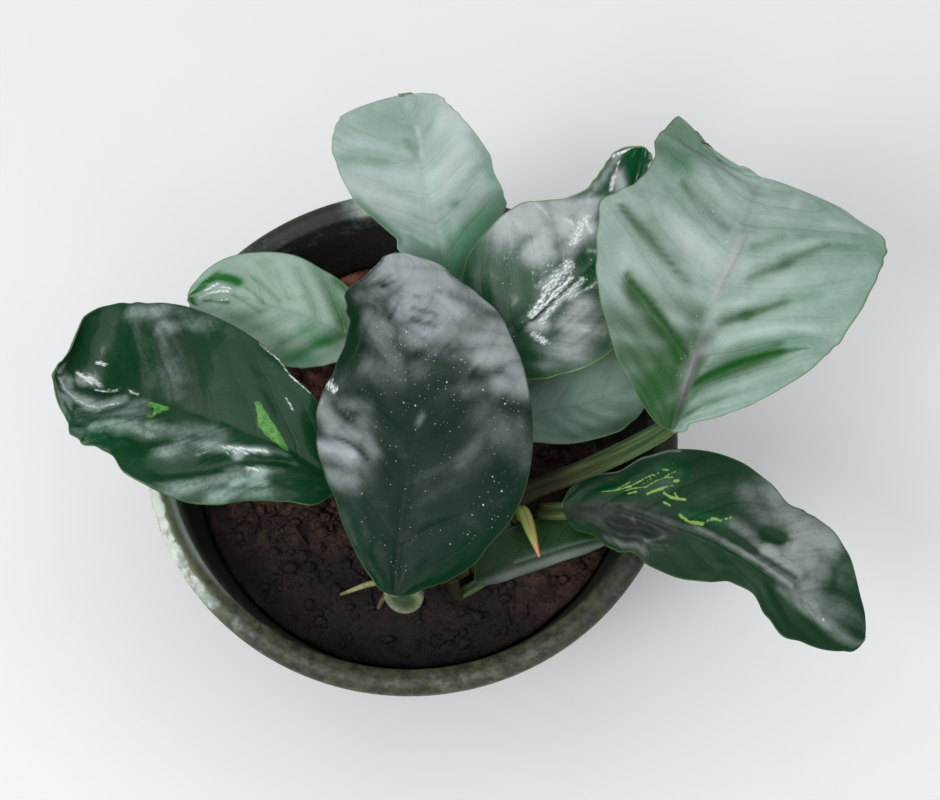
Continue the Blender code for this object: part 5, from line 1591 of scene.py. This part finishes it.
def pot_material():
    """Dark plastic with a pale grey crust on the left, partly painted light, a green film over the
    front, partly painted shade, a painted bevel highlight and painted shade on the inner wall.
    """
    shade = Shade("pot", roughness=0.5, specular=0.4)
    speckle = shade.noise(1.1, 5.0, 0.65)
    cloud = shade.noise(6.0, 5.0, 0.6)
    dark = shade.mix(*DARK_PLASTIC, speckle)
    # Pale crust on the left, partly painted light
    crust_and_light = shade.value("crust_and_light")
    crust_and_light_share = shade.sum(crust_and_light, shade.swing(0.16, cloud), shade.swing(0.06, speckle))
    pale = shade.mix(*CRUST_AND_LIGHT_COLOURS, shade.band(crust_and_light_share, 0.45, 0.98))
    shade.lay(dark)
    shade.lay(pale, shade.band(crust_and_light_share, 0.10, 0.60))
    # Olive film over the front, partly painted shade
    film_and_shade_share = shade.sum(shade.value("film_and_shade"), shade.swing(0.30, shade.noise(3.2, 5.0, 0.65)))
    olive = shade.mix(*OLIVE_FILM_AND_SHADE, shade.band(shade.noise(2.0, 5.0, 0.7), 0.35, 0.65))
    moss = shade.mix(olive, MOSSY_FILM, shade.band(crust_and_light, 0.2, 0.9, 0.0, 0.8))
    shade.lay(moss, shade.band(film_and_shade_share, 0.35, 0.80, 0.0, 0.92))
    shade.lay(CHALK, shade.band(shade.noise(4.5, 5.0, 0.6), 0.56, 0.66, 0.0, 0.40))
    # Painted highlight on the left inner bevel
    shade.lay(PAINTED_BEVEL_HIGHLIGHT, shade.band(shade.value("bevel_highlight"), 0.3, 0.9, 0.0, 0.75))
    # Painted shade on the inner wall
    shade.lay(shade.mix(*INNER_WALL_SHADE, shade.noise(4.0, 4.0)),
              shade.band(shade.value("inside"), 0.3, 0.9))
    shade.lay(shade.mix(dark, OUTER_WALL, shade.band(cloud, 0.50, 0.80, 0.0, 0.55)),
              shade.band(shade.value("high"), 0.0, 1.0, 1.0, 0.0))
    roughness = shade.band(speckle, 0.3, 0.7, 0.42, 0.72)
    height = shade.sum(shade.times(speckle, 0.7), cloud)
    return shade.finish(roughness, shade.bump(height, 0.14))


def weathering_and_painted_light(radius, height, inside, bearing):
    """Return the point values of the pot's crust and film, partly painted light and shade, its
    painted bevel highlight and its surfaces.
    """
    left = np.exp(-np.abs((bearing - CRUST_AND_LIGHT_BEARING) / CRUST_AND_LIGHT_REACH) ** 3)
    back = hump(bearing - BACK_BEARING, BACK_REACH)
    front = hump(bearing - FILM_AND_SHADE_BEARING, FILM_AND_SHADE_REACH)
    inner_half = share_of(radius, RIM_MIDDLE_RADIUS, RIM_MIDDLE_RADIUS - 1.2)
    rim_top = share_of(height, POT_HEIGHT - 4.0, POT_HEIGHT - 1.0)
    return {
        "inside": inside,
        "high": share_of(height, 66.0, 74.0),
        "crust_and_light": np.clip(left * (1 - 0.55 * inner_half) + 0.75 * back * rim_top, 0, 1),
        "bevel_highlight": left * hump(radius - RIM_INNER_RADIUS - 0.5, 0.7),
        "film_and_shade": np.clip(0.15 + 0.75 * front + 0.85 * inner_half * left, 0, 1),
    }


def drain_holes(item):
    """Cut the ring of drain holes into the pot's floor."""
    for index in range(DRAIN_HOLE_COUNT):
        angle = 2 * math.pi * (index + 0.5) / DRAIN_HOLE_COUNT
        bpy.ops.mesh.primitive_cylinder_add(
            vertices=DRAIN_HOLE_SIDES, radius=DRAIN_HOLE_RADIUS * MM,
            depth=4 * BASE_THICKNESS * MM,
            location=(DRAIN_HOLE_RING * MM * math.cos(angle),
                      DRAIN_HOLE_RING * MM * math.sin(angle), 0.5 * BASE_THICKNESS * MM))
        cut = item.modifiers.new(f"drain_{index + 1}", "BOOLEAN")
        cut.operation = "DIFFERENCE"
        cut.solver = "EXACT"
        cut.object = bpy.context.object
    graph = bpy.context.evaluated_depsgraph_get()
    mesh = bpy.data.meshes.new_from_object(item.evaluated_get(graph))
    for cut in list(item.modifiers):
        cutter = cut.object
        item.modifiers.remove(cut)
        bpy.data.objects.remove(cutter, do_unlink=True)
    item.data = mesh


def make_pot(material):
    """Turn the pot with its rolled rim, add its values of weathering and painted light and cut the
    holes.
    """
    profile = np.array(pot_profile())
    count = len(profile)
    angles = np.linspace(0, 2 * math.pi, POT_STEPS, endpoint=False)
    turn = angles[:, None] * np.ones((1, count))
    radius, height, inside = (profile[:, column] + 0 * turn for column in range(3))
    points = np.stack([radius * np.cos(turn), radius * np.sin(turn), height], -1)
    faces = []
    for step in range(POT_STEPS):
        own = step * count
        next_own = (step + 1) % POT_STEPS * count
        for index in range(count):
            after = (index + 1) % count
            faces.append((own + index, next_own + index, next_own + after, own + after))
    values = weathering_and_painted_light(radius, height, inside, np.degrees(turn))
    item = welded(mesh_object("pot_body", points, faces, [material], values))
    drain_holes(item)
    return item


def rhizome_material():
    """Green-brown rhizome with darker leaf scars."""
    shade = Shade("rhizome", roughness=0.5, specular=0.5)
    scar = shade.whole(shade.times(shade.value("part"), RHIZOME_RINGS), 0.40, 0.5)
    shade.lay(shade.mix(*RHIZOME_COLOURS, shade.noise(2.5, 4.0)))
    shade.lay(LEAF_SCAR, shade.times(scar, 0.8))
    return shade.finish(None, shade.bump(shade.less(shade.noise(0.9, 4.0), scar), 0.35))


def new_leaf_material():
    """Yellow-green rolled leaf with a pale streak and a reddish tip."""
    shade = Shade("new_leaf", roughness=0.35, specular=0.5, coat=0.3, coat_roughness=0.2)
    part = shade.value("part")
    around = shade.value("around")
    shade.lay(shade.mix(*NEW_LEAF_GREENS, shade.noise(1.2, 4.0)))
    shade.lay(NEW_LEAF_STREAK, shade.band(shade.value("facing"), 0.80, 0.98, 0.0, 0.7))
    shade.lay(NEW_LEAF_VEIN, shade.band(shade.math("ABSOLUTE", around), 0.0, 0.35, 0.65, 0.0))
    lower = shade.times(shade.band(part, 0.35, 0.75), shade.band(around, 0.1, 0.8, 1.0, 0.25))
    shade.lay(NEW_LEAF_BROWN, shade.times(lower, 0.6))
    shade.lay(NEW_LEAF_TIP, shade.band(part, 0.80, 0.96))
    return shade.finish(None, shade.bump(shade.noise(0.6, 3.0), 0.10))


def root_material(name, colours):
    """Young root with brown mottles."""
    shade = Shade(name, roughness=0.5, specular=0.5)
    shade.lay(shade.mix(*colours, shade.noise(1.2, 4.0)))
    shade.lay(ROOT_MOTTLE, shade.band(shade.noise(2.0, 3.0), 0.45, 0.65, 0.0, 0.8))
    return shade.finish(None, shade.bump(shade.noise(0.45, 4.0), 0.15))


def round_section(angle, place):
    """A plain round section with slight unevenness."""
    return 1 + 0.05 * np.sin(3 * angle + 9 * place)


def ringed_section(angle, place):
    """Section of the rhizome: swollen between its leaf scars and rounded at both ends."""
    ring = np.abs(np.sin(math.pi * RHIZOME_RINGS * place)) ** 0.5
    ends = np.minimum(1.0, 0.30 + 7 * np.minimum(place, 1 - place)) ** 0.6
    return ends * (0.93 + 0.12 * ring) * (1 + 0.05 * np.sin(2 * angle + 5 * place))


def rolled_section(angle, place):
    """Section of a rolled leaf: a spiral with a step where its margin lies."""
    turn = (angle + 5.0 * place) % (2 * math.pi) / (2 * math.pi)
    return 0.90 + 0.18 * turn ** 0.5


def make_stage():
    """Add the pale floor, the soft lights and the surroundings."""
    bpy.ops.mesh.primitive_plane_add(size=FLOOR_SIDE, location=(0, 0, -FLOOR_DROP))
    floor = bpy.context.object
    floor.name = "floor"
    shade = Shade("floor", roughness=0.8, specular=0.2)
    shade.lay(shade.mix(*FLOOR_COLOURS, shade.noise(40.0, 2.0)))
    floor.data.materials.append(shade.finish())
    world = bpy.data.worlds.new("surroundings")
    world.use_nodes = True
    bpy.context.scene.world = world
    background = world.node_tree.nodes["Background"]
    background.inputs["Color"].default_value = WORLD_COLOUR
    background.inputs["Strength"].default_value = WORLD_STRENGTH
    for name, place, size, power in LIGHTS:
        data = bpy.data.lights.new(name, "AREA")
        data.shape = "RECTANGLE"
        data.size, data.size_y = size
        data.energy = power
        light = bpy.data.objects.new(name, data)
        light.location = place
        way = Vector(place) - Vector(LIGHTS_AIM)
        light.rotation_euler = way.to_track_quat("Z", "Y").to_euler()
        bpy.context.scene.collection.objects.link(light)


def make_camera():
    """Add the camera at the photo's viewing angle."""
    data = bpy.data.cameras.new("camera")
    data.sensor_width = CAMERA_SENSOR
    data.sensor_fit = "HORIZONTAL"
    data.lens = CAMERA_LENS
    data.clip_start = 0.01
    camera = bpy.data.objects.new("camera", data)
    bpy.context.scene.collection.objects.link(camera)
    angle = math.radians(CAMERA_ELEVATION)
    back = Vector((0.0, -math.cos(angle), math.sin(angle)))
    camera.location = (Vector(CAMERA_TARGET) + back * CAMERA_DISTANCE) * MM
    camera.rotation_euler = (math.radians(90 - CAMERA_ELEVATION), 0.0, 0.0)
    bpy.context.scene.camera = camera


def keep(item, slot, *nodes):
    """Tie a piece to the frame's root body and hide the nodes it stands for; the slot is not used.
    """
    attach(item, "root")
    if nodes:
        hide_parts(*nodes)


def main():
    """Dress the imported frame."""
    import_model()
    bpy.context.scene.view_settings.view_transform = "Standard"
    make_camera()
    make_stage()
    keep(make_pot(pot_material()), "pot", "pot")
    medium = soil_material()
    keep(make_soil(medium), "soil", "soil")
    keep(make_crumbs(medium), "soil")
    rhizome = sweep_tube("rhizome_body", RHIZOME_PATH, [RHIZOME_RADIUS] * len(RHIZOME_PATH),
                         RHIZOME_SAMPLES, RHIZOME_SIDES, ringed_section, rhizome_material())
    keep(rhizome, "rhizome", "rhizome")
    stalk = stalk_material()
    for key, leaf in LEAVES.items():
        keep(make_blade(key, leaf), "leaf", f"leaf_{key}")
        keep(make_stalk(key, leaf, stalk), "stalk", f"stem_{key}")
    new_leaf = sweep_tube("new_leaf_roll", NEW_LEAF_PATH, NEW_LEAF_RADII, 50, 36,
                          rolled_section, new_leaf_material())
    keep(new_leaf, "new_leaf", "new_leaf")
    for name, form in ROOTS.items():
        path = [(x, y, float(soil_height(x, y)) + lift) for x, y, lift in form["path"]]
        root = root_material(name, form["colours"])
        keep(sweep_tube(f"{name}_tip", path, form["radii"], 40, 20, round_section, root),
             "root", name)


main()
